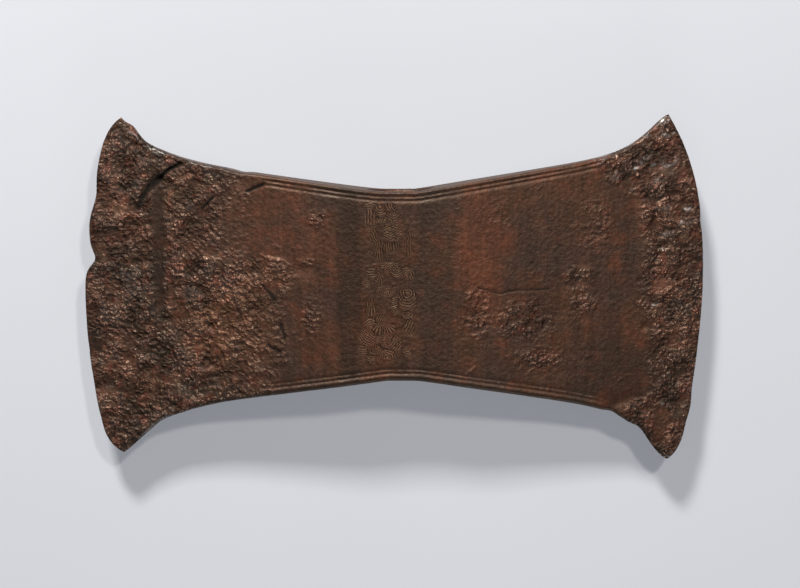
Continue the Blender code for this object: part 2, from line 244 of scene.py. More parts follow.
def worn_away(place, losses, whole):
    """Depth lost at a place along an edge that is whole long, from its list of losses."""
    return sum(CHIP_DEPTH * depth * bump(place, share * whole, CHIP_WIDTH * half)
               for share, half, depth in losses)


def horn_tip(side, hand):
    """How far out and how high the tip of a horn is, both without their signs."""
    out = REACH - HORN_SETBACK * SWEEPS[side, hand]["back"]
    return out, HORN_HEIGHT * (1.0 - FLARES[side, hand]["short"])


def narrow_side(x, side):
    """Height of a narrow side above or below the middle line at x, without its sign.

    From the waist, each hand opens by slope times a softened distance, then lifts by a high
    power of the share of the way to the horn, with a last blunting at the tip.
    """
    height = np.zeros_like(x)
    for hand, sign in (("right", 1.0), ("left", -1.0)):
        flare = FLARES[side, hand]
        tip_x, tip_y = horn_tip(side, hand)
        out = np.maximum(sign * (x - SOCKET_X) - MOUTH_LAND_HALF, 0.0)
        full = tip_x - sign * SOCKET_X - MOUTH_LAND_HALF
        soft = HORN_HEIGHT * flare["soft"]
        lift = HORN_HEIGHT * flare["lift"]
        opening = flare["slope"] * (np.hypot(out, soft) - soft)
        opening_full = flare["slope"] * (math.hypot(full, soft) - soft)
        blunting = tip_y - WAIST[side] - opening_full - lift
        share = np.clip(out / full, 0.0, 1.0)
        height += opening + lift * share ** flare["power"] + blunting * share ** HORN_BLUNTING
    return WAIST[side] + height - worn_away(x, SIDE_LOSSES[side], REACH)


def cutting_edge(y, hand):
    """Reach of a cutting edge from the middle at height y: the full reach, drawn back by a power of the share
    of the way from the belly to each horn, less what is chipped away."""
    belly = HORN_HEIGHT * BELLIES[hand]
    drawn = np.zeros_like(y)
    for side, sign in (("up", 1.0), ("down", -1.0)):
        sweep = SWEEPS[side, hand]
        tip_x, tip_y = horn_tip(side, hand)
        draw = HORN_SETBACK * sweep["draw"]
        share = np.clip(sign * (y - belly) / (tip_y - sign * belly), 0.0, 1.0)
        drawn += draw * share ** sweep["bend"] + (REACH - tip_x - draw) * share ** EDGE_BLUNTING
    return REACH - drawn - worn_away(y, EDGE_LOSSES[hand], HORN_HEIGHT)


def half_thickness(x, reach):
    """Half the thickness at x: the flat socket block, a straight wedge to the bevel, then the bevel."""
    away = np.abs(x - SOCKET_X)
    bevel_away = BEVEL_X - np.sign(x) * SOCKET_X
    halves = [THICKNESS / 2, THICKNESS / 2 - BLOCK_FALL]
    block = np.interp(away, [FLAT_HALF, BLOCK_HALF], halves)
    fall = np.clip((away - BLOCK_HALF) / (bevel_away - BLOCK_HALF), 0.0, 1.0)
    blade = halves[1] + (BEVEL_THICKNESS / 2 - halves[1]) * fall
    share = np.clip((np.abs(x) - BEVEL_X) / (reach - BEVEL_X), 0.0, 1.0)
    bevel = BEVEL_THICKNESS / 2 + (EDGE_THICKNESS - BEVEL_THICKNESS) / 2 * share
    return np.where(away < BLOCK_HALF, block, np.where(np.abs(x) < BEVEL_X, blade, bevel))


def loss_line(y, line):
    """Where the ragged line crosses the face at height y."""
    heights = [place[0] for place in line]
    return np.interp(y, heights, [place[1] for place in line])


def columns():
    """Columns from the left cutting edge to the right one: place in x, and share of the bevel.

    Every stretch has an even count, so that the coarser back can take every second column.
    """
    stations = [BODY_MARKS[0]]
    for low, high, step in zip(BODY_MARKS, BODY_MARKS[1:], BODY_STEPS):
        count = 2 * max(1, round((high - low) / step / 2))
        stations.extend(np.linspace(low, high, count + 1)[1:])
    share = 1.0 - (1.0 - np.arange(1, BEVEL_COLUMNS + 1) / BEVEL_COLUMNS) ** BEVEL_CROWDING
    x = np.concatenate([np.full(BEVEL_COLUMNS, -BEVEL_X), stations, np.full(BEVEL_COLUMNS, BEVEL_X)])
    shares = np.concatenate([share[::-1], np.zeros(len(stations)), share])
    return x, shares


def border_steps():
    """Rows in from a narrow side, closer together near it."""
    return BORDER_DEPTH * (np.arange(BORDER_ROWS + 1) / BORDER_ROWS) ** 1.25


def face_plan():
    """Plan of a face as 2-D arrays with a row per column.

    They are x, y, the distances to the lower side, the upper side and the cutting edge, and the
    reach there.

    Columns are straight across the body. Beyond the bevels they lean and bend until the last one
    is the cutting edge. Rows keep their distance to a narrow side near it, and are even between.
    """
    x, share = columns()
    feet = {}
    for side, sign in (("down", -1.0), ("up", 1.0)):
        tip = np.where(x < 0, -horn_tip(side, "left")[0], horn_tip(side, "right")[0])
        foot_x = x + share * (tip - x)
        height = sign * narrow_side(foot_x, side)
        run = np.hypot(1.0, np.gradient(height, foot_x))
        feet[side] = (height, run)
    low, low_run = feet["down"]
    high, high_run = feet["up"]
    border = border_steps()
    inner = np.arange(1, INNER_ROWS) / INNER_ROWS
    lower = low[:, None] + border
    upper = high[:, None] - border[::-1]
    middle = lower[:, -1:] + inner * (upper[:, :1] - lower[:, -1:])
    y = np.concatenate([lower, middle, upper], axis=1)
    v = (y - low[:, None]) / (high - low)[:, None]
    reach = np.zeros_like(y)
    for hand, half in (("left", x < 0), ("right", x >= 0)):
        tip_low = -horn_tip("down", hand)[1]
        tip_high = horn_tip("up", hand)[1]
        reach[half] = cutting_edge(tip_low + v[half] * (tip_high - tip_low), hand)
    px = x[:, None] + share[:, None] * (np.sign(x)[:, None] * reach - x[:, None])
    to_low = (y - low[:, None]) / low_run[:, None]
    to_high = (high[:, None] - y) / high_run[:, None]
    return px, y, to_low, to_high, reach - np.abs(px), reach


def groove_shape(inset, side):
    """Depth of the grooves at a distance in from a narrow side: two V cuts side by side, softly bottomed."""
    depth = np.zeros_like(inset)
    for groove in range(2):
        centre = GROOVE_START[side] + GROOVE_WIDTH * (groove + 0.5)
        off = np.abs(inset - centre) / (GROOVE_WIDTH / 2)
        depth += GROOVE_DEPTH * np.clip(1.0 - off, 0.0, 1.0) ** 0.9
    return depth


def face_half(plan):
    """Half thickness of the face with its rim rounded and its grooves cut in.

    The rim is a quarter round at the narrow sides and a flatter one at the cutting edges.
    """
    px, y, to_low, to_high, to_edge, reach = plan
    half = half_thickness(px, reach)
    worn = smooth_step(RIM_WORN_FROM, RIM_WORN_TO, np.abs(px))
    drop = np.zeros_like(half)
    for side, inset in (("down", to_low), ("up", to_high)):
        radius = RIM_SOUND[side] + (RIM_WORN - RIM_SOUND[side]) * worn
        short = np.clip(radius - inset, 0.0, radius)
        drop = np.maximum(drop, radius - np.sqrt(radius ** 2 - short ** 2))
    short = np.clip(1.0 - to_edge / EDGE_ROUND, 0.0, 1.0)
    drop = np.maximum(drop, EDGE_DROP * (1.0 - np.sqrt(1.0 - short ** 2)))
    run = smooth_step(GROOVE_LEFT, GROOVE_LEFT + GROOVE_FADE, px)
    run = run * (1.0 - smooth_step(GROOVE_RIGHT - GROOVE_FADE, GROOVE_RIGHT, px))
    grooves = groove_shape(to_low, "down") + groove_shape(to_high, "up")
    flat = np.stack([px.ravel(), y.ravel(), np.zeros(px.size)], axis=1)
    kept = np.clip(GROOVE_KEPT + layered(flat, GROOVE_WEAR_SPACING, 3, 211), GROOVE_LEAST, 1.0)
    return half - np.minimum(drop, RIM_SHARE * half) - run * kept.reshape(px.shape) * grooves


def rim_order(across, up):
    """Indices of a grid's outer ring, once round: lower side, right edge, upper side, left edge."""
    index = np.arange((across + 1) * (up + 1)).reshape(across + 1, up + 1)
    return np.concatenate([index[:, 0], index[-1, 1:], index[-2::-1, -1], index[0, -2:0:-1]])


def grid_faces(across, up, start, flip):
    """Quads of a grid whose points are numbered from start, facing up, or down if flipped."""
    index = start + np.arange((across + 1) * (up + 1)).reshape(across + 1, up + 1)
    quads = np.stack([index[:-1, :-1], index[1:, :-1], index[1:, 1:], index[:-1, 1:]], axis=-1).reshape(-1, 4)
    return quads[:, ::-1] if flip else quads


def ring_faces(upper, lower):
    """Quads between two rings with as many points each."""
    return np.stack([lower, np.roll(lower, -1), np.roll(upper, -1), upper], axis=1)


def halving_faces(fine, coarse):
    """Three triangles for each pair of fine edges and the coarse edge beside them."""
    a = fine[0::2]
    b = fine[1::2]
    c = np.roll(fine, -2)[0::2]
    d = coarse
    e = np.roll(coarse, -1)
    corners = [np.stack(corner, axis=1) for corner in ((a, d, b), (b, d, e), (b, e, c))]
    return np.concatenate(corners)[:, ::-1]


def opened(x, z, ring_share, mouth_share):
    """Move the points of a narrow side away from the haft hole's mouth.

    The mouth is a square of the lattice. Inside the blend the square is bent to an oval by
    moving each point along p' = p sqrt(1 - q q / 2), and the other way round for q.
    """
    half_along = HOLE_ALONG / 2 + LIP
    p = (x - SOCKET_X) / half_along
    q = np.broadcast_to((ring_share / mouth_share)[:, None], x.shape)
    size = np.maximum(np.maximum(np.abs(p), np.abs(q)), 1e-6)
    blend = (1.0 - smooth_step(1.0, 1.38, size)) * (size > 0.999)
    p_square = p / size
    q_square = q / size
    p_oval = p_square * np.sqrt(1.0 - q_square ** 2 / 2)
    q_oval = q_square * np.sqrt(1.0 - p_square ** 2 / 2)
    new_x = x + blend * half_along * size * (p_oval - p_square)
    new_z = z + blend * (HOLE_ACROSS / 2 + LIP) * size * (q_oval - q_square)
    return new_x, new_z


def rim_band(rim):
    """Rings of points between the faces, one under each share of the rim's half thickness.

    Near the waist the middle rings keep the height of the haft hole's mouths, and are bent
    round them. Elsewhere they spread evenly.
    """
    rim_half = rim[:, 2] - MIDDLE
    mouth_half = HOLE_ACROSS / 2 + LIP
    mouth_share = mouth_half / (THICKNESS / 2 - RIM_SOUND["up"])
    outer = np.linspace(1.0, mouth_share, LIP_RINGS + 1)
    across_mouth = np.linspace(mouth_share, -mouth_share, MOUTH_RINGS + 1)[1:]
    shares = np.concatenate([outer, across_mouth, -outer[::-1][1:]])[1:-1]
    inside_half = np.minimum(mouth_half, MOUTH_SHARE * rim_half)
    outside = np.clip((np.abs(shares) - mouth_share) / (1.0 - mouth_share), 0.0, 1.0)[:, None]
    off = np.clip(np.abs(shares) / mouth_share, 0.0, 1.0)[:, None] * inside_half
    off = off + outside * (rim_half - inside_half)
    band_z = MIDDLE + np.sign(shares)[:, None] * off
    band_x = np.broadcast_to(rim[:, 0], band_z.shape)
    on_side = (np.abs(rim[:, 1]) < 1.5 * WAIST["up"]) & (np.abs(rim[:, 0] - SOCKET_X) < HOLE_ALONG)
    moved_x, moved_z = opened(band_x, band_z, shares, mouth_share)
    band_x = np.where(on_side, moved_x, band_x)
    band_z = np.where(on_side, moved_z, band_z)
    band_y = np.broadcast_to(rim[:, 1], band_z.shape).copy()
    for side, sign in (("down", -1.0), ("up", 1.0)):
        mine = on_side & (np.sign(rim[:, 1]) == sign)
        band_y[:, mine] = sign * narrow_side(band_x[:, mine], side)
    return np.stack([band_x, band_y, band_z], axis=-1)


def mouth_loops(lattice, body_x, up):
    """Indices round the lower and the upper mouth, and which squares of the lattice they leave open."""
    across = len(body_x) - 1
    left, right = (int(np.argmin(np.abs(body_x - (SOCKET_X + sign * (HOLE_ALONG / 2 + LIP)))))
                   for sign in (-1.0, 1.0))
    top_right = across + up + (across - right)
    top_left = across + up + (across - left)
    first = LIP_RINGS
    last = LIP_RINGS + MOUTH_RINGS
    closed = np.ones((len(lattice) - 1, lattice.shape[1]), bool)
    closed[first:last, left:right] = False
    closed[first:last, top_right:top_left] = False
    lower = mouth_loop(lattice, first, last, np.arange(left, right + 1))
    upper = mouth_loop(lattice, first, last, np.arange(top_left, top_right - 1, -1))
    return lower, upper, closed


def smooth_casting():
    """The casting before corrosion: points, quads, triangles, where each point lies, and its insets.

    The codes for where are 1 on the face that shows, -1 on the back, 0 on the sides and edges
    and 2 inside the haft hole. The insets are the distances to the lower side, the upper side
    and the cutting edge.
    """
    plan = face_plan()
    half = face_half(plan)
    across = plan[0].shape[0] - 1
    up = plan[0].shape[1] - 1
    front = np.stack([plan[0], plan[1], MIDDLE + half], axis=-1).reshape(-1, 3)
    back_plan = [part[::2, ::2] for part in plan]
    back = np.stack([back_plan[0], back_plan[1], MIDDLE - half[::2, ::2]], axis=-1).reshape(-1, 3)
    front_rim = rim_order(across, up)
    back_rim = rim_order(across // 2, up // 2) + len(front)
    band = rim_band(front[front_rim])
    band_start = len(front) + len(back)
    lattice = np.stack([front_rim] + [band_start + k * len(front_rim) + np.arange(len(front_rim))
                                      for k in range(len(band))])
    lower_mouth, upper_mouth, closed = mouth_loops(lattice, plan[0][:, 0], up)
    strips = np.stack([ring_faces(a, b) for a, b in zip(lattice, lattice[1:])])
    points = np.concatenate([front, back, band.reshape(-1, 3)])
    tunnel = tunnel_points(points[lower_mouth], points[upper_mouth])
    tunnel_start = len(points)
    steps = [tunnel_start + k * len(lower_mouth) + np.arange(len(lower_mouth)) for k in range(TUNNEL_RINGS)]
    loops = [lower_mouth] + steps + [upper_mouth]
    quads = [grid_faces(across, up, 0, False), grid_faces(across // 2, up // 2, len(front), True)]
    quads.append(strips[closed])
    quads.extend(ring_faces(a, b) for a, b in zip(loops, loops[1:]))
    points = np.concatenate([points, tunnel.reshape(-1, 3)])
    triangles = halving_faces(lattice[-1], back_rim)
    where = np.zeros(len(points))
    where[:len(front)] = 1
    where[len(front):band_start] = -1
    where[tunnel_start:] = 2
    insets = np.full((3, len(points)), 1.0)
    insets[:, :len(front)] = [part.ravel() for part in plan[2:5]]
    insets[:, len(front):band_start] = [part.ravel() for part in back_plan[2:5]]
    insets[:, band_start:tunnel_start] = 0.0
    return points, np.concatenate(quads), triangles, where, insets


def mouth_loop(lattice, first, last, places):
    """Indices once round the square of the lattice that the haft hole opens."""
    return np.concatenate([lattice[first, places], lattice[first + 1:last + 1, places[-1]],
                           lattice[last, places[-2::-1]], lattice[last - 1:first:-1, places[0]]])


def tunnel_points(lower, upper):
    """Rings of points down the haft hole, on straight lines between its mouths, a lip narrower inside."""
    shares = np.concatenate([[0.012], np.linspace(0.03, 0.97, TUNNEL_RINGS - 2), [0.988]])
    run = lower + shares[:, None, None] * (upper - lower)
    middle = np.array([SOCKET_X, 0.0, MIDDLE])
    narrow = np.array([HOLE_ALONG / (HOLE_ALONG + 2 * LIP), 1.0, HOLE_ACROSS / (HOLE_ACROSS + 2 * LIP)])
    tight = middle + (run - middle) * narrow
    edge = np.minimum(shares, 1.0 - shares)[:, None, None]
    return run + (tight - run) * np.clip(edge / 0.03, 0.0, 1.0) ** 0.5


def point_normals(points, quads, triangles):
    """Unit normals of the points: the cross products of the faces' sides, added up at each corner."""
    total = np.zeros_like(points)
    for faces, a, b in ((quads, (0, 2), (1, 3)), (triangles, (0, 1), (0, 2))):
        first = points[faces[:, a[1]]] - points[faces[:, a[0]]]
        second = points[faces[:, b[1]]] - points[faces[:, b[0]]]
        cross = np.cross(first, second)
        for corner in range(faces.shape[1]):
            for axis in range(3):
                total[:, axis] += np.bincount(faces[:, corner], cross[:, axis], len(points))
    return total / np.maximum(np.linalg.norm(total, axis=1, keepdims=True), 1e-12)


# Patches on the sound face that are lightly corroded: middle, half length, half width, strength.
# Stray ones are scattered over the rest, by their spacing, strength and the noise they need.
PATCHES = [
    ((0.0330, -0.0085), 0.0055, 0.0115, 0.90),
    ((0.0530, -0.0120), 0.0125, 0.0085, 0.95),
    ((0.0585, -0.0280), 0.0115, 0.0052, 0.80),
    ((0.0740, 0.0040), 0.0070, 0.0050, 0.80),
    ((0.0760, -0.0070), 0.0080, 0.0050, 0.70),
    ((0.0810, 0.0250), 0.0080, 0.0110, 0.50),
    ((0.0400, 0.0300), 0.0060, 0.0060, 0.40),
    ((-0.0310, 0.0285), 0.0040, 0.0040, 0.70),
    ((-0.0325, -0.0100), 0.0045, 0.0070, 0.65),
    ((-0.0355, 0.0115), 0.0040, 0.0018, 0.70),
]
PATCH_EDGE = (-0.40, 0.70)
STRAY_SPACING = 0.0062
STRAY_STRENGTH = 0.40
STRAY_FROM = (0.24, 0.60)

# Strips and islands of the old surface in the corroded blades: middle, half length, half width,
# and how well each is kept.
KEPT = [
    ((-0.0948, 0.0150), 0.0034, 0.0400, 1.00),
    ((-0.0640, 0.0260), 0.0070, 0.0095, 0.75),
    ((-0.0860, -0.0060), 0.0050, 0.0110, 0.60),
    ((-0.0800, 0.0170), 0.0040, 0.0060, 0.50),
    ((0.1078, -0.0555), 0.0046, 0.0110, 0.80),
    ((0.0950, 0.0180), 0.0040, 0.0200, 0.70),
    ((0.1050, 0.0480), 0.0030, 0.0030, 0.60),
]

# Hollows of the face: middle, half length and half width, turn in degrees, depth. Dirt gathers
# in them over a range of depths.
HOLLOWS = [
    ((0.1080, 0.0540), 0.0058, 0.0030, -35.0, 0.0011),
    ((0.0950, -0.0455), 0.0070, 0.0026, 8.0, 0.0010),
    ((0.0560, -0.0120), 0.0100, 0.0060, 10.0, 0.0006),
    ((0.0330, -0.0080), 0.0080, 0.0080, 0.0, 0.0005),
    ((0.0600, -0.0310), 0.0085, 0.0050, 0.0, 0.0005),
    ((-0.1060, 0.0240), 0.0050, 0.0030, 60.0, 0.0008),
    ((-0.1120, 0.0150), 0.0050, 0.0040, 0.0, 0.0007),
    ((-0.0360, 0.0090), 0.0060, 0.0032, 0.0, 0.0005),
    ((0.1045, 0.0270), 0.0016, 0.0030, 0.0, 0.0009),
    ((0.1080, 0.0175), 0.0030, 0.0012, 0.0, 0.0009),
    ((0.1050, -0.0050), 0.0026, 0.0012, -10.0, 0.0009),
    ((0.1015, -0.0155), 0.0014, 0.0014, 0.0, 0.0009),
    ((0.1100, -0.0290), 0.0010, 0.0036, 20.0, 0.0008),
    ((0.1140, -0.0460), 0.0032, 0.0016, -20.0, 0.0008),
    ((-0.1040, 0.0110), 0.0022, 0.0016, 0.0, 0.0009),
    ((-0.1027, -0.0195), 0.0020, 0.0016, 0.0, 0.0009),
    ((-0.0690, -0.0330), 0.0018, 0.0014, 0.0, 0.0008),
]
HOLLOW_DIRT = (0.0001, 0.0006)

# Cracks of the face: half width, depth, and the points they pass.
CRACKS = [
    (0.0009, 0.0018, [(-0.0860, 0.0505), (-0.0905, 0.0478), (-0.0950, 0.0440)]),
    (0.0013, 0.0022, [(-0.0945, 0.0445), (-0.0985, 0.0405), (-0.1005, 0.0382)]),
    (0.0009, 0.0015, [(-0.1000, 0.0390), (-0.1022, 0.0350), (-0.1030, 0.0325)]),
    (0.0006, 0.0008, [(-0.0520, 0.0425), (-0.0585, 0.0395)]),
    (0.0006, 0.0008, [(-0.0725, 0.0370), (-0.0770, 0.0325)]),
    (0.0004, 0.0007, [(-0.0455, -0.0137), (-0.0436, -0.0190)]),
    (0.0005, 0.0006, [(-0.0526, 0.0023), (-0.0475, -0.0037)]),
    (0.0005, 0.0006, [(-0.0503, -0.0219), (-0.0456, -0.0247)]),
    (0.0004, 0.0003, [(0.0334, 0.0014), (0.0422, -0.0010), (0.0482, 0.0002), (0.0622, 0.0005)]),
]

# The incised strip: its sides, how far in from the narrow sides it ends, and the strokes that are cut deep
# enough for the mesh, with their half width, depth, blackness, a painted shade, and paths.
STRIP_LEFT = SOCKET_X - 0.0172
STRIP_RIGHT = SOCKET_X + 0.0070
STRIP_INSET = {"down": 0.0058, "up": 0.0046}
STROKE_HALF = 0.00026
STROKE_DEPTH = 0.00030
STROKE_BLACK = 0.45
STROKES = [
    [(-0.0039, 0.0130), (-0.0015, 0.0132), (0.0008, 0.0128)],
    [(-0.0036, 0.0120), (0.0006, 0.0119)],
    [(-0.0042, -0.0032), (-0.0038, -0.0062), (-0.0028, -0.0088), (-0.0013, -0.0100)],
    [(-0.0112, 0.0335), (-0.0109, 0.0290), (-0.0106, 0.0255)],
    [(-0.0082, 0.0340), (-0.0080, 0.0300), (-0.0082, 0.0262)],
    [(-0.0104, 0.0236), (-0.0090, 0.0212), (-0.0084, 0.0204)],
    [(-0.0118, 0.0232), (-0.0101, 0.0206), (-0.0095, 0.0196)],
    [(0.0068, 0.0330), (0.0070, 0.0290), (0.0066, 0.0262)],
    [(-0.0093, 0.0170), (-0.0091, 0.0100), (-0.0094, 0.0030)],
    [(-0.0122, 0.0000), (-0.0084, 0.0007)],
    [(-0.0124, -0.0016), (-0.0086, -0.0012)],
    [(0.0073, -0.0044), (0.0078, -0.0090), (0.0070, -0.0125)],
]

# Fine rows of strokes in the strip, drawn by the patina: middle, half width and half height,
# shape, spacing, turn in degrees, how well they are kept, and how far above the middle the
# centre lies that arcs run round and rays fan out from.
MOTIFS = [
    ((-0.0094, 0.0342), 0.0022, 0.0015, "lines", 0.00080, 90.0, 0.7, 0.0),
    ((-0.0095, 0.0292), 0.0020, 0.0048, "lines", 0.00120, 0.0, 0.6, 0.0),
    ((-0.0094, 0.0262), 0.0018, 0.0010, "lines", 0.00075, 90.0, 0.6, 0.0),
    ((-0.0053, 0.0318), 0.0022, 0.0026, "arcs", 0.00090, 0.0, 0.8, 0.0019),
    ((-0.0016, 0.0330), 0.0020, 0.0020, "lines", 0.00085, 38.0, 0.8, 0.0),
    ((-0.0004, 0.0300), 0.0024, 0.0020, "arcs", 0.00080, 0.0, 0.8, 0.0019),
    ((-0.0050, 0.0288), 0.0022, 0.0014, "lines", 0.00085, -35.0, 0.6, 0.0),
    ((-0.0006, 0.0240), 0.0030, 0.0038, "waves", 0.00100, 90.0, 1.0, 0.0),
    ((-0.0080, 0.0215), 0.0015, 0.0035, "lines", 0.00095, 25.0, 0.4, 0.0),
    ((-0.0060, 0.0165), 0.0024, 0.0036, "lines", 0.00090, 0.0, 0.4, 0.0),
    ((-0.0015, 0.0175), 0.0036, 0.0020, "lines", 0.00090, 6.0, 0.4, 0.0),
    ((-0.0016, 0.0102), 0.0034, 0.0018, "waves", 0.00085, 62.0, 0.8, 0.0),
    ((0.0012, 0.0078), 0.0020, 0.0020, "arcs", 0.00080, 0.0, 0.9, 0.0019),
    ((0.0054, 0.0076), 0.0026, 0.0022, "arcs", 0.00085, 0.0, 0.9, -0.0019),
    ((0.0055, 0.0280), 0.0014, 0.0013, "arcs", 0.00070, 0.0, 0.6, 0.0019),
    ((0.0060, 0.0190), 0.0016, 0.0050, "lines", 0.00100, 4.0, 0.3, 0.0),
    ((-0.0088, 0.0074), 0.0020, 0.0022, "lines", 0.00095, 90.0, 0.9, 0.0),
    ((-0.0110, 0.0036), 0.0018, 0.0016, "arcs", 0.00075, 0.0, 0.6, 0.0019),
    ((-0.0060, 0.0050), 0.0018, 0.0030, "waves", 0.00090, 40.0, 0.5, 0.0),
    ((-0.0030, 0.0004), 0.0036, 0.0022, "waves", 0.00080, 55.0, 1.0, 0.0),
    ((0.0055, -0.0030), 0.0036, 0.0040, "arcs", 0.00110, 0.0, 1.0, 0.0022),
    ((0.0002, -0.0054), 0.0012, 0.0034, "waves", 0.00085, 90.0, 0.8, 0.0),
    ((-0.0092, -0.0070), 0.0020, 0.0036, "lines", 0.00090, 0.0, 0.6, 0.0),
    ((-0.0092, -0.0124), 0.0022, 0.0026, "arcs", 0.00090, 0.0, 0.7, -0.0019),
    ((-0.0046, -0.0110), 0.0030, 0.0018, "lines", 0.00085, -30.0, 0.5, 0.0),
    ((0.0056, -0.0096), 0.0024, 0.0014, "arcs", 0.00080, 0.0, 0.8, 0.0019),
    ((-0.0042, -0.0148), 0.0042, 0.0026, "rays", 0.00080, 0.0, 1.0, 0.0040),
    ((0.0060, -0.0144), 0.0020, 0.0030, "lines", 0.00105, -28.0, 0.9, 0.0),
    ((-0.0108, -0.0186), 0.0034, 0.0034, "lines", 0.00085, 52.0, 0.8, 0.0),
    ((-0.0040, -0.0196), 0.0034, 0.0030, "waves", 0.00085, 78.0, 1.0, 0.0),
    ((0.0008, -0.0210), 0.0022, 0.0034, "lines", 0.00085, -40.0, 0.8, 0.0),
    ((-0.0070, -0.0232), 0.0032, 0.0022, "waves", 0.00080, 35.0, 0.8, 0.0),
    ((-0.0024, -0.0246), 0.0032, 0.0020, "arcs", 0.00085, 0.0, 0.9, -0.0019),
    ((0.0052, -0.0238), 0.0017, 0.0020, "arcs", 0.00080, 0.0, 0.7, 0.0019),
    ((-0.0088, -0.0266), 0.0030, 0.0014, "arcs", 0.00085, 0.0, 0.8, 0.0019),
    ((-0.0125, -0.0235), 0.0018, 0.0024, "lines", 0.00090, 90.0, 0.5, 0.0),
]
WAVE_LENGTH = 0.0026
WAVE_HEIGHT = 0.00034
STROKE_BEND = 0.00080

# Relief of the corroded crust: the spacing and the depth of each of its forms, and of the bends
# that keep them from lining up. Only some pits are cut, and those vary in size. The wrinkles are
# drawn out along one slant low on the left blade, between these places, and along another
# everywhere else.
BEND = (0.0062, 0.0016)
BROAD = (0.0082, 0.00120)
WRINKLE = (0.0050, 0.00062)
CREASE = (0.0030, 0.00030)
GRAIN = (0.0026, 0.00034)
FLAKE = (0.0062, 0.00045)
FINE = (0.0013, 0.00018)
CALM_SPACING = 0.0085
FLAKE_STEPS = 4.0
CALM = 0.30
LIVELINESS = 0.95
PIT_SPACING = 0.0082
PIT_DEPTH = 0.00120
PIT_SIZES = (0.10, 0.26)
PITS_LEFT_OUT = 0.45
DRAWN_OUT = (0.82, 1.16)
LOW_LEFT_X = (-0.092, -0.080, -0.050, -0.036)
LOW_LEFT_Y = (0.000, 0.016)
SLANT_LOW_LEFT = -42.0
SLANT_ELSEWHERE = 12.0
CREST_LEVEL = 0.00095

# How much of the relief is kept: on patches of the sound face, on the back, at the outline and
# how far in from it all is kept, and inside the haft hole. Where the casting is thin, the
# relief is at most a share of the half thickness, and is lessened against its full depth.
PATCH_RELIEF = 0.55
PATCH_ROUGHNESS = 0.90
BACK_RELIEF = 0.70
OUTLINE_SHARE = 0.35
OUTLINE_RUN = 0.0016
HOLE_RELIEF = 0.0004
THIN_SHARE = 0.60
THIN_LEAST = 0.0001
FULL_RELIEF = 0.0014

# Small faults of the sound face: soft unevenness and scattered dents, as spacing and depth, how far the
# cracks wander, and the depth at which a crack's painted shade is quite black.
UNEVEN = (0.0085, 0.00006)
DENT = (0.0042, 0.00016)
DENT_SIZE = 0.11
DENTS_LEFT_OUT = 0.72
CRACK_WANDER = 0.0006
BLACK_CRACK = 0.00045


def fine_strokes(points):
    """The fine rows of strokes in the strip, as a phase that is whole on each stroke, and their strength.

    Each motif is an oval where it wins over the others. Its phase is the distance, over its
    spacing, along a turned axis, along one that waves, or from a centre; for rays, it is the
    angle round the centre.
    """
    x = points[:, 0]
    y = points[:, 1]
    bend = STROKE_BEND * np.stack([layered(points, WAVE_LENGTH, 2, seed) for seed in (191, 197)])
    best = np.zeros(len(points))
    second = np.zeros(len(points))
    phase = np.zeros(len(points))
    for middle, half_x, half_y, shape, spacing, turn, share, lift in MOTIFS:
        dx = x - middle[0] + bend[0]
        dy = y - middle[1] + bend[1]
        angle = math.radians(turn)
        across = dx * math.cos(angle) + dy * math.sin(angle)
        along = dy * math.cos(angle) - dx * math.sin(angle)
        if shape == "waves":
            across = across + WAVE_HEIGHT * np.sin(2.0 * math.pi * along / WAVE_LENGTH)
        if shape == "arcs":
            across = np.hypot(dx, dy - lift)
        if shape == "rays":
            across = np.arctan2(dx, lift - dy) * lift
        inside = share * smooth_step(0.0, 0.55, 1.25 - np.hypot(dx / half_x, dy / half_y))
        wins = inside > best
        second = np.where(wins, best, np.maximum(second, inside))
        best = np.where(wins, inside, best)
        phase = np.where(wins, across / spacing, phase)
    worn = np.clip(0.95 + 1.1 * layered(points, 0.0060, 3, 181), 0.15, 1.0)
    return phase, np.clip(1.6 * (best - 0.8 * second), 0.0, 1.0) * worn


def path_distance(x, y, path):
    """Distance from points to a path of straight pieces."""
    best = np.full(len(x), 1.0)
    for (ax, ay), (bx, by) in zip(path, path[1:]):
        dx = bx - ax
        dy = by - ay
        share = np.clip(((x - ax) * dx + (y - ay) * dy) / (dx * dx + dy * dy), 0.0, 1.0)
        best = np.minimum(best, np.hypot(x - ax - share * dx, y - ay - share * dy))
    return best


def oval_far(x, y, middle, long_half, wide_half, turn=0.0):
    """Distance from an oval's middle, 1 on its outline."""
    angle = math.radians(turn)
    along = (x - middle[0]) * math.cos(angle) + (y - middle[1]) * math.sin(angle)
    across = (y - middle[1]) * math.cos(angle) - (x - middle[0]) * math.sin(angle)
    return np.hypot(along / long_half, across / wide_half)


def lost_surface(points, shown):
    """How far the old surface is lost, from 0 to 1, and how vigorous the corrosion is.

    The first says which side of the ragged lines a point is on, moved by noise, with islands of
    the old surface only on the face that shows. The second grows away from the lines.
    """
    x = points[:, 0]
    y = points[:, 1]
    wander = LOSS_WANDER * (1.3 * layered(points, 0.0110, 3, 11) + 1.6 * layered(points, 0.0036, 3, 23))
    left = loss_line(y, LOSS_LEFT) - x + wander
    right = x - loss_line(y, LOSS_RIGHT) + wander
    risen = np.maximum(smooth_step(RISE_FROM, RISE_LEFT, left), smooth_step(RISE_FROM, RISE_RIGHT, right))
    vigour = LEAST_VIGOUR + (1.0 - LEAST_VIGOUR) * risen
    lost = smooth_step(*LOSS_BLEND, np.maximum(left, right))
    ragged = 0.50 * layered(points, 0.0048, 3, 31)
    for middle, half_x, half_y, share in KEPT:
        inside = smooth_step(-0.15, 0.55, 1.0 - oval_far(x, y, middle, half_x, half_y) + ragged)
        lost = lost * (1.0 - share * inside * shown)
    return lost, vigour


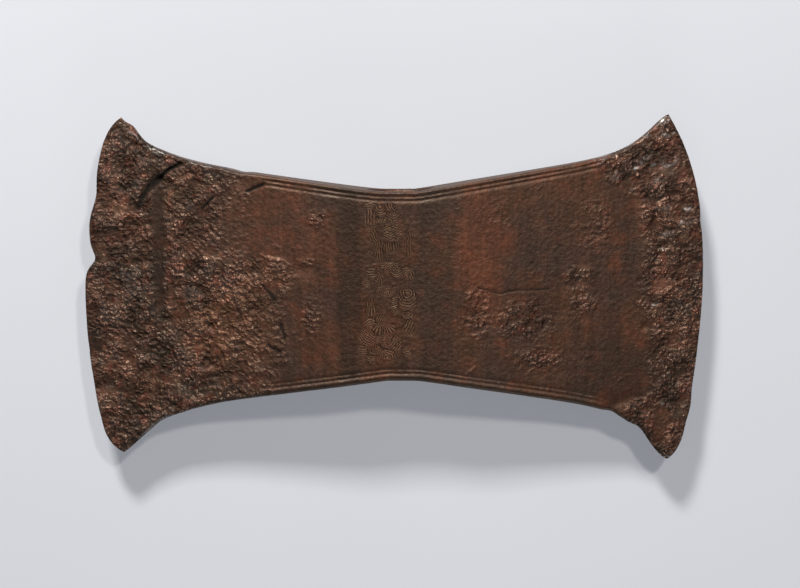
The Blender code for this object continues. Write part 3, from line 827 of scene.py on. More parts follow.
def light_patches(points, shown):
    """Strength of light corrosion on the sound face: ovals with ragged borders."""
    x = points[:, 0]
    y = points[:, 1]
    ragged = 0.55 * layered(points, 0.0050, 3, 41) + 0.25 * swell(points, 0.0018, 47)
    strength = np.zeros(len(points))
    for middle, half_x, half_y, share in PATCHES:
        inside = 1.0 - oval_far(x, y, middle, half_x, half_y) + ragged
        strength = np.maximum(strength, share * smooth_step(*PATCH_EDGE, inside))
    stray = STRAY_STRENGTH * smooth_step(*STRAY_FROM, layered(points, STRAY_SPACING, 3, 53))
    return np.maximum(strength * shown, stray)


def drawn_out(points, slant):
    """Places turned by a slant and squeezed, so that forms made on them are drawn out along it."""
    angle = math.radians(slant)
    along = points[:, 0] * math.cos(angle) + points[:, 1] * math.sin(angle)
    across = points[:, 1] * math.cos(angle) - points[:, 0] * math.sin(angle)
    return np.stack([along * DRAWN_OUT[0], across * DRAWN_OUT[1], points[:, 2]], axis=1)


def crust_depth(points):
    """How deep the crust lies and how deep in its own relief a point is, from 0 on the crests to 1.

    Broad lumps, drawn-out wrinkles, creases, grains, and flakes that end in steps are added up,
    all on places that are first bent by soft waves so that nothing lines up. Scattered round
    pits go deeper. The sum is then lowered so that its crests stand at the old surface.
    """
    bend = np.stack([layered(points, BEND[0], 2, 61 + axis) for axis in range(3)], axis=1)
    bent = points + BEND[1] * bend
    low_left = smooth_step(*LOW_LEFT_X[:2], bent[:, 0]) * (1.0 - smooth_step(*LOW_LEFT_X[2:], bent[:, 0]))
    low_left = low_left * (1.0 - smooth_step(*LOW_LEFT_Y, bent[:, 1]))
    slanted = wrinkles(drawn_out(bent, SLANT_LOW_LEFT), WRINKLE[0], 4, 77)
    level = wrinkles(drawn_out(bent, SLANT_ELSEWHERE), WRINKLE[0], 4, 89)
    wrinkle = 1.0 - (level + low_left * (slanted - level))
    broad = 0.5 - 0.5 * layered(points, BROAD[0], 2, 71)
    crease = wrinkles(bent, CREASE[0], 2, 83)
    nearest, _ = grains(bent, GRAIN[0], 97)
    grain = np.clip(nearest, 0.0, 1.0) ** 1.5
    stairs = FLAKE_STEPS * (0.5 - 0.5 * layered(bent, FLAKE[0], 2, 91))
    flake = (np.floor(stairs) + smooth_step(0.30, 0.62, stairs - np.floor(stairs))) / FLAKE_STEPS
    fine = 0.5 - 0.5 * layered(bent, FINE[0], 2, 101)
    pit_far, pit_number = grains(bent, PIT_SPACING, 113)
    size = PIT_SIZES[0] + (PIT_SIZES[1] - PIT_SIZES[0]) * pit_number
    pits = np.exp(-(pit_far / size) ** 2) * (pit_number > PITS_LEFT_OUT)
    lively = CALM + LIVELINESS * smooth_step(-0.25, 0.35, layered(points, CALM_SPACING, 2, 121))
    fines = WRINKLE[1] * wrinkle + CREASE[1] * crease + GRAIN[1] * grain + FINE[1] * fine
    depth = BROAD[1] * broad + FLAKE[1] * flake + lively * fines - CREST_LEVEL
    cavity = smooth_step(-0.2, 1.0, depth / CREST_LEVEL)
    depth = np.maximum(depth, 0.15 * depth) + PIT_DEPTH * pits
    return depth, np.clip(cavity + 0.5 * pits, 0.0, 1.0)


def hollow_depth(points):
    """Depth of the hollows: ovals with slightly wandering borders that die away as a bell does."""
    x = points[:, 0]
    y = points[:, 1]
    wander = 0.25 * swell(points, 0.0030, 149)
    depth = np.zeros(len(points))
    for middle, half_x, half_y, turn, deep in HOLLOWS:
        far = np.clip(oval_far(x, y, middle, half_x, half_y, turn) + wander, 0.0, None)
        depth += deep * np.exp(-far ** 2.0)
    return depth


def crack_depth(points, wander):
    """Depth of the cracks, each a bell across its bent path, and how black they look, as a painted shade that
    deepens with them.
    """
    depth = np.zeros(len(points))
    black = np.zeros(len(points))
    for half, deep, path in CRACKS:
        far = path_distance(points[:, 0] + wander[0], points[:, 1] + wander[1], path)
        cleft = np.exp(-(far / half) ** 2)
        depth += deep * cleft
        # Painted shade: blacker as the crack is deeper.
        black = np.maximum(black, cleft * min(1.0, deep / BLACK_CRACK))
    return depth, black


def deep_strokes(points, wander):
    """Strength of the strip's deeper strokes, each a bell across its path, worn here and there."""
    near = np.full(len(points), 1.0)
    for path in STROKES:
        near = np.minimum(near, path_distance(points[:, 0] + 0.3 * wander[0], points[:, 1], path))
    return np.exp(-(near / STROKE_HALF) ** 2) * np.clip(0.6 + layered(points, 0.0050, 2, 163), 0.2, 1.0)


def relief_limit(x, where):
    """The deepest that the relief may go: a share of the half thickness, and little inside the haft hole."""
    half = np.interp(np.abs(x), [BEVEL_X, REACH], [BEVEL_THICKNESS / 2, EDGE_THICKNESS / 2])
    half = np.where(np.abs(x) < BEVEL_X, THICKNESS / 2, half)
    return np.where(where == 2, HOLE_RELIEF, THIN_SHARE * half + THIN_LEAST)


def relief(points, where, insets):
    """How far each point is pressed in, and the masks that the patina reads."""
    x = points[:, 0]
    shown = where == 1
    lost, vigour = lost_surface(points, shown)
    patches = light_patches(points, shown)
    crust, cavity = crust_depth(points)
    rough = np.maximum(lost * (0.25 + 0.75 * vigour), PATCH_ROUGHNESS * patches)
    inward = smooth_step(0.0, OUTLINE_RUN, np.min(insets, axis=0))
    kept = OUTLINE_SHARE + (1.0 - OUTLINE_SHARE) * inward
    depth = np.maximum(lost * vigour, PATCH_RELIEF * patches) * crust * kept
    depth = np.where(where == -1, BACK_RELIEF * depth, depth)
    soft = 0.5 - 0.5 * layered(points, UNEVEN[0], 3, 131)
    dent_far, dent_number = grains(points, DENT[0], 139)
    dents = np.exp(-(dent_far / DENT_SIZE) ** 2) * (dent_number > DENTS_LEFT_OUT)
    depth = depth + (1.0 - lost) * (UNEVEN[1] * soft + DENT[1] * dents)
    hollows = hollow_depth(points) * shown
    cavity = np.maximum(cavity, smooth_step(*HOLLOW_DIRT, hollows))
    wander = CRACK_WANDER * np.stack([layered(points, 0.0040, 2, seed) for seed in (151, 157)])
    clefts, cut = crack_depth(points, wander)
    cut = cut * shown
    depth = depth + hollows + clefts * shown
    strip = shown & (x > STRIP_LEFT) & (x < STRIP_RIGHT)
    strip = strip & (insets[0] > STRIP_INSET["down"]) & (insets[1] > STRIP_INSET["up"])
    stroke = deep_strokes(points[strip], wander[:, strip])
    depth[strip] += STROKE_DEPTH * stroke
    # Deeper strokes blackened as painted shade.
    cut[strip] = np.maximum(cut[strip], STROKE_BLACK * stroke)
    phase = np.zeros(len(points))
    etched = np.zeros(len(points))
    phase[strip], etched[strip] = fine_strokes(points[strip])
    limit = relief_limit(x, where)
    depth = depth * np.minimum(1.0, limit / FULL_RELIEF)
    depth = limit * np.tanh(np.maximum(depth, 0.0) / limit)
    return depth, {"crust": rough, "cavity": cavity, "cut": cut, "phase": phase, "etched": etched}


# Places where the crust is golden: middle, half length, half width, strength.
GOLDEN = [
    ((-0.0640, -0.0160), 0.0230, 0.0190, 1.00),
    ((-0.0900, 0.0380), 0.0110, 0.0090, 0.60),
    ((-0.0480, 0.0080), 0.0140, 0.0110, 0.50),
    ((-0.1000, -0.0420), 0.0120, 0.0100, 0.35),
    ((0.0900, 0.0360), 0.0100, 0.0080, 0.30),
]

# Broad tints of the face that shows: middle, half length, half width, lightness and warmth. Some of the
# lightness is painted light and shade: the dark bands beside the socket block are painted shade, the dark
# bands along the lines where the bevels start are partly the old surface's own tone and partly painted shade,
# and the pale tips of the upper horns are partly dusty and partly painted light. The rim of the lower side is
# darker too, a painted shade where it turns down, by this much and over this stretch in from it.
TINTS = [
    # Painted shade: dark band beside the socket block.
    ((-0.0180, 0.0000), 0.0060, 0.0600, -0.85, -0.15),
    ((-0.0030, 0.0000), 0.0120, 0.0600, -0.56, 0.10),
    ((-0.0045, -0.0190), 0.0095, 0.0110, 0.12, 0.70),
    # Painted shade: dark band on the other side of the socket block.
    ((0.0165, 0.0000), 0.0085, 0.0600, -0.50, -0.05),
    ((0.0340, 0.0150), 0.0110, 0.0260, 0.30, 0.80),
    ((0.0560, 0.0260), 0.0085, 0.0110, 0.00, -0.80),
    ((0.0860, -0.0320), 0.0130, 0.0140, -0.25, -0.10),
    # Along the lines where the bevels start: partly the old surface's own tone, partly painted shade.
    ((-0.0950, 0.0150), 0.0036, 0.0400, -1.00, 0.00),
    ((0.0950, 0.0180), 0.0034, 0.0200, -0.30, 0.00),
    ((-0.0640, -0.0130), 0.0230, 0.0160, 0.00, 0.35),
    ((-0.0400, 0.0250), 0.0180, 0.0160, 0.15, 0.35),
    ((-0.0250, -0.0180), 0.0140, 0.0170, 0.05, 0.30),
    ((-0.1130, 0.0060), 0.0110, 0.0180, -0.15, -0.30),
    ((0.1070, -0.0560), 0.0060, 0.0120, 0.00, 0.40),
    ((0.1060, -0.0330), 0.0120, 0.0160, -0.55, 0.00),
    # Upper horn tips paler: partly dusty, partly painted light.
    ((0.1070, 0.0540), 0.0105, 0.0140, 0.75, -0.45),
    ((-0.1080, 0.0520), 0.0110, 0.0140, 0.40, 0.00),
    ((0.1120, 0.0080), 0.0090, 0.0140, 0.00, 0.30),
    ((-0.0700, 0.0420), 0.0180, 0.0080, 0.10, -0.20),
    ((-0.1010, 0.0330), 0.0150, 0.0150, 0.22, -0.10),
    ((-0.0560, 0.0090), 0.0180, 0.0150, 0.20, 0.05),
]
RIM_SHADE = 0.90
RIM_SHADE_RUN = (0.0012, 0.0026)

# Colours of the patina, as 8-bit screen values.
SOUND_BROWN = (59, 36, 26)
ORANGE_BROWN = (75, 39, 26)
GREY_BROWN = (46, 32, 28)
CRUST_BROWN = (66, 41, 32)
RED_BROWN = (77, 37, 28)
DARK_BROWN = (38, 25, 20)
OCHRE = (116, 84, 54)
GOLD_BROWN = (88, 60, 36)
# Pale of the crusts' crests: partly dusting, partly a painted highlight for glints.
PALE_DUST_AND_GLINT = (156, 132, 112)
# Painted highlight on the raised edges beside the fine strokes.
STROKE_EDGE_HIGHLIGHT = (140, 104, 78)
GREEN_BLACK = (44, 42, 33)
# Painted shade in the cracks and the deeper strokes.
CRACK_BLACK = (8, 9, 12)
HOLE_EARTH = (78, 62, 48)


def tints(points, shown, to_low):
    """Lightness and warmth from -1 to 1, and gold from 0 to 1.

    All are soft ovals with wandering borders on the face that shows. Some of the lightness is painted: shade
    in dark bands and along the lower rim, and light on the upper horn tips.
    """
    x = points[:, 0]
    y = points[:, 1]
    wander = 0.25 * layered(points, 0.0120, 3, 173)
    light = np.zeros(len(points))
    warm = np.zeros(len(points))
    for middle, half_x, half_y, lightness, warmth in TINTS:
        inside = 1.0 - smooth_step(0.55, 1.25, oval_far(x, y, middle, half_x, half_y) + wander)
        light += lightness * inside * shown
        warm += warmth * inside * shown
    # Painted shade along the lower rim, where it turns down.
    light -= RIM_SHADE * (1.0 - smooth_step(*RIM_SHADE_RUN, to_low)) * shown
    golden = np.zeros(len(points))
    for middle, half_x, half_y, share in GOLDEN:
        inside = 1.0 - smooth_step(0.40, 1.30, oval_far(x, y, middle, half_x, half_y) + wander)
        golden = np.maximum(golden, share * inside * shown)
    return {"light": np.clip(light, -1.0, 1.0), "warm": np.clip(warm, -1.0, 1.0), "golden": golden}


def build_casting():
    """The finished casting: the smooth form pressed in by its relief, with its masks as point attributes."""
    points, quads, triangles, where, insets = smooth_casting()
    depth, masks = relief(points, where, insets)
    masks.update(tints(points, where == 1, insets[0]))
    points = points - point_normals(points, quads, triangles) * depth[:, None]
    points = np.clip(points, np.array(LOW), np.array(HIGH))
    mesh = bpy.data.meshes.new("bronze_casting")
    faces = np.concatenate([quads.ravel(), triangles.ravel()])
    sizes = np.concatenate([np.full(len(quads), 4), np.full(len(triangles), 3)])
    mesh.vertices.add(len(points))
    mesh.vertices.foreach_set("co", points.astype(np.float32).ravel())
    mesh.loops.add(len(faces))
    mesh.loops.foreach_set("vertex_index", faces.astype(np.int32))
    mesh.polygons.add(len(sizes))
    starts = np.concatenate([[0], np.cumsum(sizes)[:-1]])
    mesh.polygons.foreach_set("loop_start", starts.astype(np.int32))
    inside = where[faces[starts]] == 2
    mesh.polygons.foreach_set("material_index", inside.astype(np.int32))
    for name, values in masks.items():
        layer = mesh.attributes.new(name, "FLOAT", "POINT")
        layer.data.foreach_set("value", values.astype(np.float32))
    mesh.update(calc_edges=True)
    mesh.shade_smooth()
    casting = bpy.data.objects.new("bronze_casting", mesh)
    bpy.context.scene.collection.objects.link(casting)
    return casting


def screen(colour):
    """A colour for the shader from its 8-bit screen values."""
    shares = [value / 255.0 for value in colour]
    return tuple(v / 12.92 if v <= 0.04045 else ((v + 0.055) / 1.055) ** 2.4 for v in shares) + (1.0,)


# Noises of the finishes: clouds a metre, or along each axis, detail, roughness, the stretch of the
# noise that is read, and what it becomes.
STREAKS = ((240.0, 26.0, 60.0), 3.0, 0.55, 0.35, 0.65, 0.84, 1.14)
SCRATCHES = ((800.0, 55.0, 200.0), 2.0, 0.60, 0.36, 0.64, 0.86, 1.14)
GRAINY = (560.0, 4.0, 0.70, 0.35, 0.65, 0.72, 1.30)
CLOUDY = (230.0, 3.0, 0.60, 0.35, 0.65, 0.88, 1.12)
LIVELY = (150.0, 3.0, 0.55, 0.40, 0.60, 0.20, 1.00)
GILDING = (300.0, 4.0, 0.65, 0.38, 0.62, 0.00, 0.48)
GREENING = (95.0, 3.0, 0.60, 0.62, 0.70, 0.00, 0.20)
STROKES_KEPT = (620.0, 3.0, 0.60, 0.36, 0.52, 0.00, 1.00)
WORN_GRIT = (620.0, 2.0, 0.55, 0.00, 1.00, 0.00, 0.18)
SOUND_GLOSS = (420.0, 3.0, 0.60, 0.30, 0.70, 0.46, 0.62)
CRUST_GLOSS = (420.0, 3.0, 0.60, 0.30, 0.70, 0.30, 0.55)
HOLE_GLOSS = (220.0, 3.0, 0.60, 0.30, 0.70, 0.55, 0.85)
FLOOR_SHADES = (3.0, 3.0, 0.55, 0.30, 0.70)

# Mottlings: the ground, patches, blotches and specks, their scales, and the share of the specks.
SOUND_MOTTLING = ((SOUND_BROWN, GREY_BROWN, ORANGE_BROWN, OCHRE), (38.0, 120.0, 900.0), 0.12)
CRUST_MOTTLING = ((CRUST_BROWN, DARK_BROWN, RED_BROWN, OCHRE), (70.0, 260.0, 620.0), 0.18)
HOLE_MOTTLING = ((DARK_BROWN, SOUND_BROWN, HOLE_EARTH, GREEN_BLACK), (55.0, 170.0, 500.0), 0.50)

# Tones of the patina, each a range that a mask is stretched to: over the grit, lighter on its crests and
# darker in its hollows, partly a painted highlight and painted shade; from dark to light tints, some of them
# painted shade and painted light; and from open crust to the dirt in its hollows.
GRIT_TONE_AND_PAINTED_LIGHT = (0.66, 1.28)
TINT_TONE = (0.42, 1.58)
DIRT_TONE = (1.12, 0.55)
WARMTH = 0.60
# Pale dusting on the crust's crests, partly a painted highlight for glints.
CREST_DUST_AND_GLINT = 0.07

# Gloss and relief of the patina. The bronze shows through as a little metal under the wax, and
# the wax is the coat: full on lively crust, next to none on sound faces and in dirt. Scales are
# clouds a metre, and depths are in metres.
METAL = 0.30
SHINE = 0.60
SHINE_TINT = (1.0, 0.81, 0.64, 1.0)
DIRT_DULLS = 0.25
FLAT_DULLS = 0.25
FLATNESS = (0.86, 0.95)
WAX_ROUGHNESS = 0.30
WAX_IN_DIRT = 0.05
WAX_ON_SOUND = 0.08
WAX_ON_CALM = 0.12
WAX_ON_FLAT = 0.15
WAX_ON_STROKES = 0.60
GRIT_DEPTH = 0.0018
GRIT_ON_SOUND = 0.015
STROKE_GRIT = 0.40
PATINA_GRIT = (400.0, 620.0)
HOLE_GRIT = (200.0, 600.0)
HOLE_GRIT_DEPTH = 0.0003
HOLE_GRIT_STRENGTH = 0.7
HOLE_METAL = 0.15

# Strokes of the strip: the stretches of the phase that are the dark stroke, a painted shade, and the pale
# edge beside it, a painted highlight, how strong each is, and how the cracks turn black with painted shade.
STROKE_PHASE = (0.06, 0.30)
RIDGE_PHASE = (0.24, 0.44)
STROKE_DARK = 0.50
RIDGE_HIGHLIGHT = 0.60
CUT_BLACK = (0.08, 0.65, 0.0, 0.97)


class Recipe:
    """One node tree, and short ways to put nodes into it. An input is a value or another node's socket."""

    def __init__(self, tree):
        self.tree = tree

    def feed(self, socket, value):
        """A value, or a link from another node's socket, given to a socket."""
        if isinstance(value, bpy.types.NodeSocket):
            self.tree.links.new(value, socket)
        else:
            socket.default_value = value

    def put(self, kind, inputs=None, **settings):
        """A node with its settings and its inputs."""
        node = self.tree.nodes.new(kind)
        for name, value in settings.items():
            setattr(node, name, value)
        for name, value in (inputs or {}).items():
            self.feed(node.inputs[name], value)
        return node

    def sum_of(self, kind, first, second, clamp=False):
        """A sum, difference or other operation on two numbers."""
        return self.put("ShaderNodeMath", {0: first, 1: second}, operation=kind, use_clamp=clamp).outputs[0]

    def product(self, first, *others):
        """The product of numbers."""
        for other in others:
            first = self.sum_of("MULTIPLY", first, other)
        return first

    def from_to(self, value, low, high, new_low=0.0, new_high=1.0):
        """A number moved from one range to another, and kept inside it."""
        inputs = {"Value": value, "From Min": low, "From Max": high, "To Min": new_low, "To Max": new_high}
        return self.put("ShaderNodeMapRange", inputs).outputs["Result"]

    def blend(self, share, first, second):
        """The colour between two, by share. A plain colour is given by its screen values."""
        first, second = (screen(side) if isinstance(side, tuple) else side for side in (first, second))
        return self.put("ShaderNodeMix", {0: share, 6: first, 7: second}, data_type="RGBA").outputs[2]

    def between(self, share, first, second):
        """The number between two, by share."""
        return self.put("ShaderNodeMix", {0: share, 2: first, 3: second}, data_type="FLOAT").outputs[0]

    def noise(self, place, scale, detail, rough, *ranges):
        """Soft noise on a place, its range moved to another. A scale for each axis squeezes the place."""
        if isinstance(scale, tuple):
            place = self.put("ShaderNodeMapping", {"Vector": place, "Scale": scale}).outputs["Vector"]
            scale = 1.0
        inputs = {"Vector": place, "Scale": scale, "Detail": detail, "Roughness": rough}
        return self.from_to(self.put("ShaderNodeTexNoise", inputs).outputs["Fac"], *ranges)

    def group(self, tree, inputs):
        """The first output of a group that is placed with its own values."""
        return self.put("ShaderNodeGroup", inputs, node_tree=tree).outputs[0]

    def mask(self, name):
        """One of the casting's own masks."""
        return self.put("ShaderNodeAttribute", attribute_name=name, attribute_type="GEOMETRY").outputs["Fac"]

    def mottled(self, mottling, place, colours, scales, share):
        """The mottling group with its four colours, three scales and share of specks."""
        inputs = {"Vector": place, "Speck share": share}
        inputs.update(zip(("Ground", "Patches", "Blotches", "Specks"), map(screen, colours)))
        inputs.update(zip(("Patch scale", "Blotch scale", "Speck scale"), scales))
        return self.group(mottling, inputs)

    def gritty(self, grit, place, crests, grains):
        """The grit group with its two scales."""
        return self.group(grit, {"Vector": place, "Crest scale": crests, "Grain scale": grains})

    def bumped(self, height, depth, strength=1.0):
        """The normal of a surface with a height of its own."""
        inputs = {"Strength": strength, "Distance": depth, "Height": height}
        return self.put("ShaderNodeBump", inputs).outputs["Normal"]


def new_group(name, inputs, output, kind):
    """An empty node group with named inputs and one output: its recipe, and the sockets at its two ends."""
    tree = bpy.data.node_groups.new(name, "ShaderNodeTree")
    for socket, form, value in inputs:
        made = tree.interface.new_socket(socket, in_out="INPUT", socket_type=form)
        if value is not None:
            made.default_value = value
    tree.interface.new_socket(output, in_out="OUTPUT", socket_type=kind)
    given = tree.nodes.new("NodeGroupInput").outputs
    return Recipe(tree), given, tree.nodes.new("NodeGroupOutput").inputs[output]


def new_material(name):
    """A new material, its recipe, its shader's inputs and the place on the object."""
    material = bpy.data.materials.new(name)
    material.use_nodes = True
    recipe = Recipe(material.node_tree)
    place = recipe.put("ShaderNodeTexCoord").outputs["Object"]
    return material, recipe, material.node_tree.nodes["Principled BSDF"].inputs, place


def mottling_group():
    """Patches of two colours over a first one, and small specks of a fourth, on a place."""
    colours = [(name, "NodeSocketColor", (0.1, 0.1, 0.1, 1.0))
               for name in ("Ground", "Patches", "Blotches", "Specks")]
    numbers = [("Patch scale", "NodeSocketFloat", 60.0), ("Blotch scale", "NodeSocketFloat", 200.0),
               ("Speck scale", "NodeSocketFloat", 700.0), ("Speck share", "NodeSocketFloat", 0.5)]
    place = [("Vector", "NodeSocketVector", None)]
    recipe, given, out = new_group("mottling", place + colours + numbers, "Color", "NodeSocketColor")
    patches = recipe.noise(given["Vector"], given["Patch scale"], 3.0, 0.55, 0.40, 0.62)
    blotches = recipe.noise(given["Vector"], given["Blotch scale"], 4.0, 0.60, 0.50, 0.68, 0.0, 0.75)
    specks = recipe.noise(given["Vector"], given["Speck scale"], 2.0, 0.60, 0.58, 0.70)
    mixed = recipe.blend(patches, given["Ground"], given["Patches"])
    mixed = recipe.blend(blotches, mixed, given["Blotches"])
    mixed = recipe.blend(recipe.product(specks, given["Speck share"]), mixed, given["Specks"])
    recipe.feed(out, mixed)
    return recipe.tree


def grit_group():
    """Height of a crinkled, gritty surface, from 0 to 1: sharp wandering crests with rounded grains."""
    sockets = [("Vector", "NodeSocketVector", None), ("Crest scale", "NodeSocketFloat", 300.0),
               ("Grain scale", "NodeSocketFloat", 900.0)]
    recipe, given, out = new_group("grit", sockets, "Height", "NodeSocketFloat")
    crests = recipe.put("ShaderNodeTexNoise", {
        "Vector": given["Vector"], "Scale": given["Crest scale"], "Detail": 1.8, "Roughness": 0.5,
        "Lacunarity": 2.1, "Offset": 0.9, "Gain": 2.2},
        noise_type="RIDGED_MULTIFRACTAL", normalize=True).outputs["Fac"]
    cells = recipe.put("ShaderNodeTexVoronoi", {"Vector": given["Vector"], "Scale": given["Grain scale"]},
                       feature="F1", voronoi_dimensions="3D").outputs["Distance"]
    rounded = recipe.from_to(cells, 0.0, 0.9, 0.35, 0.0)
    recipe.feed(out, recipe.sum_of("ADD", rounded, recipe.product(crests, 0.65)))
    return recipe.tree


def patina_tone(recipe, place, masks, coarse, dirt):
    """Lightness of the patina: streaks, grain, clouds and scratches, the grit, whose lighter crests and
    darker hollows are partly painted highlight and shade, the tints, some of them painted shade and light,
    and the dirt.
    """
    noises = [recipe.noise(place, *noise) for noise in (STREAKS, GRAINY, CLOUDY, SCRATCHES)]
    # Crests of the grit lighter and its hollows darker: partly a painted highlight and painted shade.
    grit_tone_and_painted_light = recipe.between(masks["crust"], 1.0, recipe.from_to(coarse, 0.25, 0.75, *GRIT_TONE_AND_PAINTED_LIGHT))
    tint_tone = recipe.from_to(masks["light"], -1.0, 1.0, *TINT_TONE)
    return recipe.product(*noises, grit_tone_and_painted_light, tint_tone, recipe.from_to(dirt, 0.0, 1.0, *DIRT_TONE))


def patina_colour(recipe, place, masks, mottling, tone):
    """Colour of the patina: mottled sound faces and crust, warm, grey, golden and green places, and pale
    crests that are partly dusty and partly a painted highlight.
    """
    crust = masks["crust"]
    sound = recipe.mottled(mottling, place, *SOUND_MOTTLING)
    colour = recipe.blend(crust, sound, recipe.mottled(mottling, place, *CRUST_MOTTLING))
    colour = recipe.blend(recipe.from_to(masks["warm"], 0.0, 1.0, 0.0, WARMTH), colour, ORANGE_BROWN)
    colour = recipe.blend(recipe.from_to(masks["warm"], 0.0, -1.0, 0.0, WARMTH), colour, GREY_BROWN)
    gilt = recipe.product(masks["golden"], recipe.noise(place, *GILDING), crust)
    colour = recipe.blend(gilt, colour, GOLD_BROWN)
    colour = recipe.put("ShaderNodeVectorMath", {0: colour, 1: tone}, operation="MULTIPLY").outputs[0]
    # Pale crests: partly dusting, partly a painted highlight.
    dust_and_glint = recipe.product(recipe.from_to(masks["cavity"], 0.35, 0.0, 0.0, CREST_DUST_AND_GLINT), crust)
    colour = recipe.blend(dust_and_glint, colour, PALE_DUST_AND_GLINT)
    return recipe.blend(recipe.product(recipe.noise(place, *GREENING), crust), colour, GREEN_BLACK)


def patina_tilt(recipe, normal):
    """0 where the bumped surface lies flat in the casting's own frame, and 1 where it is tilted.

    It is read from the square of the height of the normal, so that both faces count as flat.
    """
    turned = recipe.put("ShaderNodeVectorTransform", {"Vector": normal}, vector_type="NORMAL",
                        convert_from="WORLD", convert_to="OBJECT").outputs["Vector"]
    upright = recipe.put("ShaderNodeSeparateXYZ", {"Vector": turned}).outputs["Z"]
    return recipe.from_to(recipe.product(upright, upright), *FLATNESS, 1.0, 0.0)


def patina(mottling, grit):
    """Waxed dark bronze: brown and smooth where the old surface is kept, mottled and gritty where it is lost.

    It is black in the cracks and strokes, a painted shade, and paler on the crests, partly dusty and partly a
    painted highlight. The fine strokes have pale edges beside them as a painted highlight. Crust that lies
    flat is dull and tilted crust shines, so that no whole blade glares at once.
    """
    material, recipe, shader, place = new_material("waxed bronze patina")
    names = ("crust", "cavity", "cut", "light", "warm", "golden", "phase", "etched")
    masks = {name: recipe.mask(name) for name in names}
    crust = masks["crust"]
    cut = masks["cut"]
    dirt = recipe.product(recipe.from_to(masks["cavity"], 0.35, 1.0), crust)
    coarse = recipe.gritty(grit, place, *PATINA_GRIT)
    lively = recipe.noise(place, *LIVELY)
    tone = patina_tone(recipe, place, masks, coarse, dirt)
    colour = patina_colour(recipe, place, masks, mottling, tone)
    swing = recipe.sum_of("PINGPONG", masks["phase"], 0.5)
    etched = recipe.product(masks["etched"], recipe.noise(place, *STROKES_KEPT))
    # Each fine stroke is darkened as painted shade, and the edge beside it is paled as a painted highlight.
    stroke = recipe.product(recipe.from_to(swing, *STROKE_PHASE, 1.0, 0.0), etched)
    ridge_highlight = recipe.product(recipe.from_to(swing, *RIDGE_PHASE), etched)
    colour = recipe.blend(recipe.product(stroke, STROKE_DARK), colour, DARK_BROWN)
    colour = recipe.blend(recipe.product(ridge_highlight, RIDGE_HIGHLIGHT), colour, STROKE_EDGE_HIGHLIGHT)
    # Painted shade: black in the cracks and deeper strokes.
    colour = recipe.blend(recipe.from_to(cut, *CUT_BLACK), colour, CRACK_BLACK)
    recipe.feed(shader["Base Color"], colour)

    crinkles = recipe.product(coarse, lively, recipe.from_to(crust, 0.0, 1.0, GRIT_ON_SOUND, 1.0))
    height = recipe.sum_of("ADD", crinkles, recipe.noise(place, *WORN_GRIT))
    height = recipe.sum_of("SUBTRACT", height, recipe.product(stroke, STROKE_GRIT))
    normal = recipe.bumped(height, GRIT_DEPTH)
    recipe.feed(shader["Normal"], normal)

    tilted = patina_tilt(recipe, normal)
    dull = recipe.from_to(tilted, 0.0, 1.0, FLAT_DULLS, 0.0)
    crust_gloss = recipe.sum_of("ADD", recipe.noise(place, *CRUST_GLOSS), dull, True)
    gloss = recipe.between(crust, recipe.noise(place, *SOUND_GLOSS), crust_gloss)
    gloss = recipe.sum_of("ADD", gloss, recipe.product(dirt, DIRT_DULLS), True)
    recipe.feed(shader["Roughness"], recipe.sum_of("ADD", gloss, cut, True))
    wax = recipe.product(
        recipe.from_to(dirt, 0.0, 0.8, 1.0, WAX_IN_DIRT), recipe.from_to(crust, 0.0, 1.0, WAX_ON_SOUND, 1.0),
        recipe.from_to(cut, 0.0, 0.6, 1.0, 0.0), recipe.from_to(lively, 0.20, 1.0, WAX_ON_CALM, 1.0))
    wax = recipe.sum_of("ADD", wax, recipe.product(etched, WAX_ON_STROKES), True)
    wax = recipe.product(wax, recipe.from_to(tilted, 0.0, 1.0, WAX_ON_FLAT, 1.0))
    recipe.feed(shader["Coat Weight"], wax)
    shader["Coat Roughness"].default_value = WAX_ROUGHNESS
    shader["Metallic"].default_value = METAL
    shader["Specular IOR Level"].default_value = SHINE
    shader["Specular Tint"].default_value = SHINE_TINT
    return material


def hole_lining(mottling, grit):
    """Inside the haft hole: the same bronze, dull and dusty with earth."""
    material, recipe, shader, place = new_material("earthy bronze lining")
    recipe.feed(shader["Base Color"], recipe.mottled(mottling, place, *HOLE_MOTTLING))
    recipe.feed(shader["Roughness"], recipe.noise(place, *HOLE_GLOSS))
    height = recipe.gritty(grit, place, *HOLE_GRIT)
    recipe.feed(shader["Normal"], recipe.bumped(height, HOLE_GRIT_DEPTH, HOLE_GRIT_STRENGTH))
    shader["Metallic"].default_value = HOLE_METAL
    return material


# Floor of the stage: half its width, its height, two close greys, a faint glow that keeps the
# shadow under the axe head soft, and its finish.
FLOOR_HALF = 3.0
FLOOR_LEVEL = -0.0003
FLOOR_DARK = (165, 169, 177)
FLOOR_LIGHT = (169, 173, 181)
FLOOR_GLOW = 0.50
FLOOR_ROUGHNESS = 0.90
FLOOR_SHINE = 0.20

# Lights: name, place, size, power in watts and colour. All face the middle of the axe head.
LIGHTS = [
    ("key_light", (-0.30, 1.08, 0.80), 0.20, 28.0, (1.0, 0.95, 0.88)),
    ("spot_light", (0.40, 0.68, 1.30), 0.12, 9.0, (1.0, 0.94, 0.86)),
    ("fill_light", (-0.60, 0.10, 1.60), 1.20, 1.2, (0.97, 0.98, 1.0)),
    ("low_light", (0.20, -1.10, 0.32), 0.50, 3.0, (1.0, 0.97, 0.94)),
]
SKY = (0.90, 0.90, 0.92, 1.0)
SKY_STRENGTH = 0.06

# Camera: where it aims, how far away it is, its lean in degrees, and its lens in millimetres.
AIM = (0.00243, -0.00245, 0.0155)
AWAY = 0.765
LEAN = 5.7
LENS = 85.0


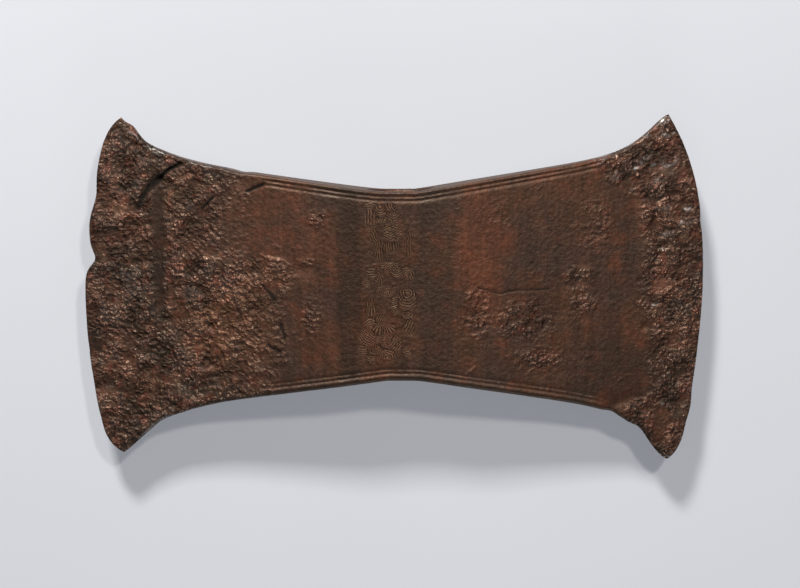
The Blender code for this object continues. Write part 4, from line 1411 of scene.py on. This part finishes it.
def pale_floor():
    """A plain pale floor, wide enough to reach past every view."""
    mesh = bpy.data.meshes.new("pale_floor")
    corners = [(x * FLOOR_HALF, y * FLOOR_HALF, FLOOR_LEVEL) for x, y in ((-1, -1), (1, -1), (1, 1), (-1, 1))]
    mesh.from_pydata(corners, [], [(0, 1, 2, 3)])
    floor = bpy.data.objects.new("pale_floor", mesh)
    bpy.context.scene.collection.objects.link(floor)
    material, recipe, shader, place = new_material("pale matt floor")
    colour = recipe.blend(recipe.noise(place, *FLOOR_SHADES), FLOOR_DARK, FLOOR_LIGHT)
    recipe.feed(shader["Base Color"], colour)
    recipe.feed(shader["Emission Color"], colour)
    shader["Emission Strength"].default_value = FLOOR_GLOW
    shader["Roughness"].default_value = FLOOR_ROUGHNESS
    shader["Specular IOR Level"].default_value = FLOOR_SHINE
    mesh.materials.append(material)


def soft_light(name, place, size, power, colour):
    """A square soft light that faces the middle of the axe head, and isn't seen itself."""
    lamp = bpy.data.lights.new(name, "AREA")
    lamp.shape = "SQUARE"
    lamp.size = size
    lamp.energy = power
    lamp.color = colour
    light = bpy.data.objects.new(name, lamp)
    light.location = place
    light.rotation_euler = (-Vector(place)).to_track_quat("-Z", "Y").to_euler()
    light.visible_camera = False
    bpy.context.scene.collection.objects.link(light)


def light_stage():
    """The lights and a faint pale sky.

    The key light stands beyond the upper side, low enough to rake the face. A smaller one is
    higher, a wide one fills from above, and a low one reaches the lower side.
    """
    for light in LIGHTS:
        soft_light(*light)
    world = bpy.data.worlds.new("pale studio")
    world.use_nodes = True
    background = world.node_tree.nodes["Background"]
    background.inputs["Color"].default_value = SKY
    background.inputs["Strength"].default_value = SKY_STRENGTH
    bpy.context.scene.world = world
    bpy.context.scene.view_settings.view_transform = "Standard"


def aim_camera():
    """A camera above the face, leaning a little to the upper side, with a long lens."""
    lens = bpy.data.cameras.new("camera")
    lens.lens = LENS
    lens.sensor_width = 36.0
    camera = bpy.data.objects.new("camera", lens)
    lean = math.radians(LEAN)
    camera.location = (AIM[0], AIM[1] + AWAY * math.sin(lean), AIM[2] + AWAY * math.cos(lean))
    camera.rotation_euler = (-lean, 0.0, 0.0)
    bpy.context.scene.collection.objects.link(camera)
    bpy.context.scene.camera = camera


def main():
    """Camera, casting with its two finishes, floor and lights."""
    aim_camera()
    casting = build_casting()
    mottling = mottling_group()
    grit = grit_group()
    casting.data.materials.append(patina(mottling, grit))
    casting.data.materials.append(hole_lining(mottling, grit))
    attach(casting, "root")
    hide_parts("axe_head")
    pale_floor()
    light_stage()


main()
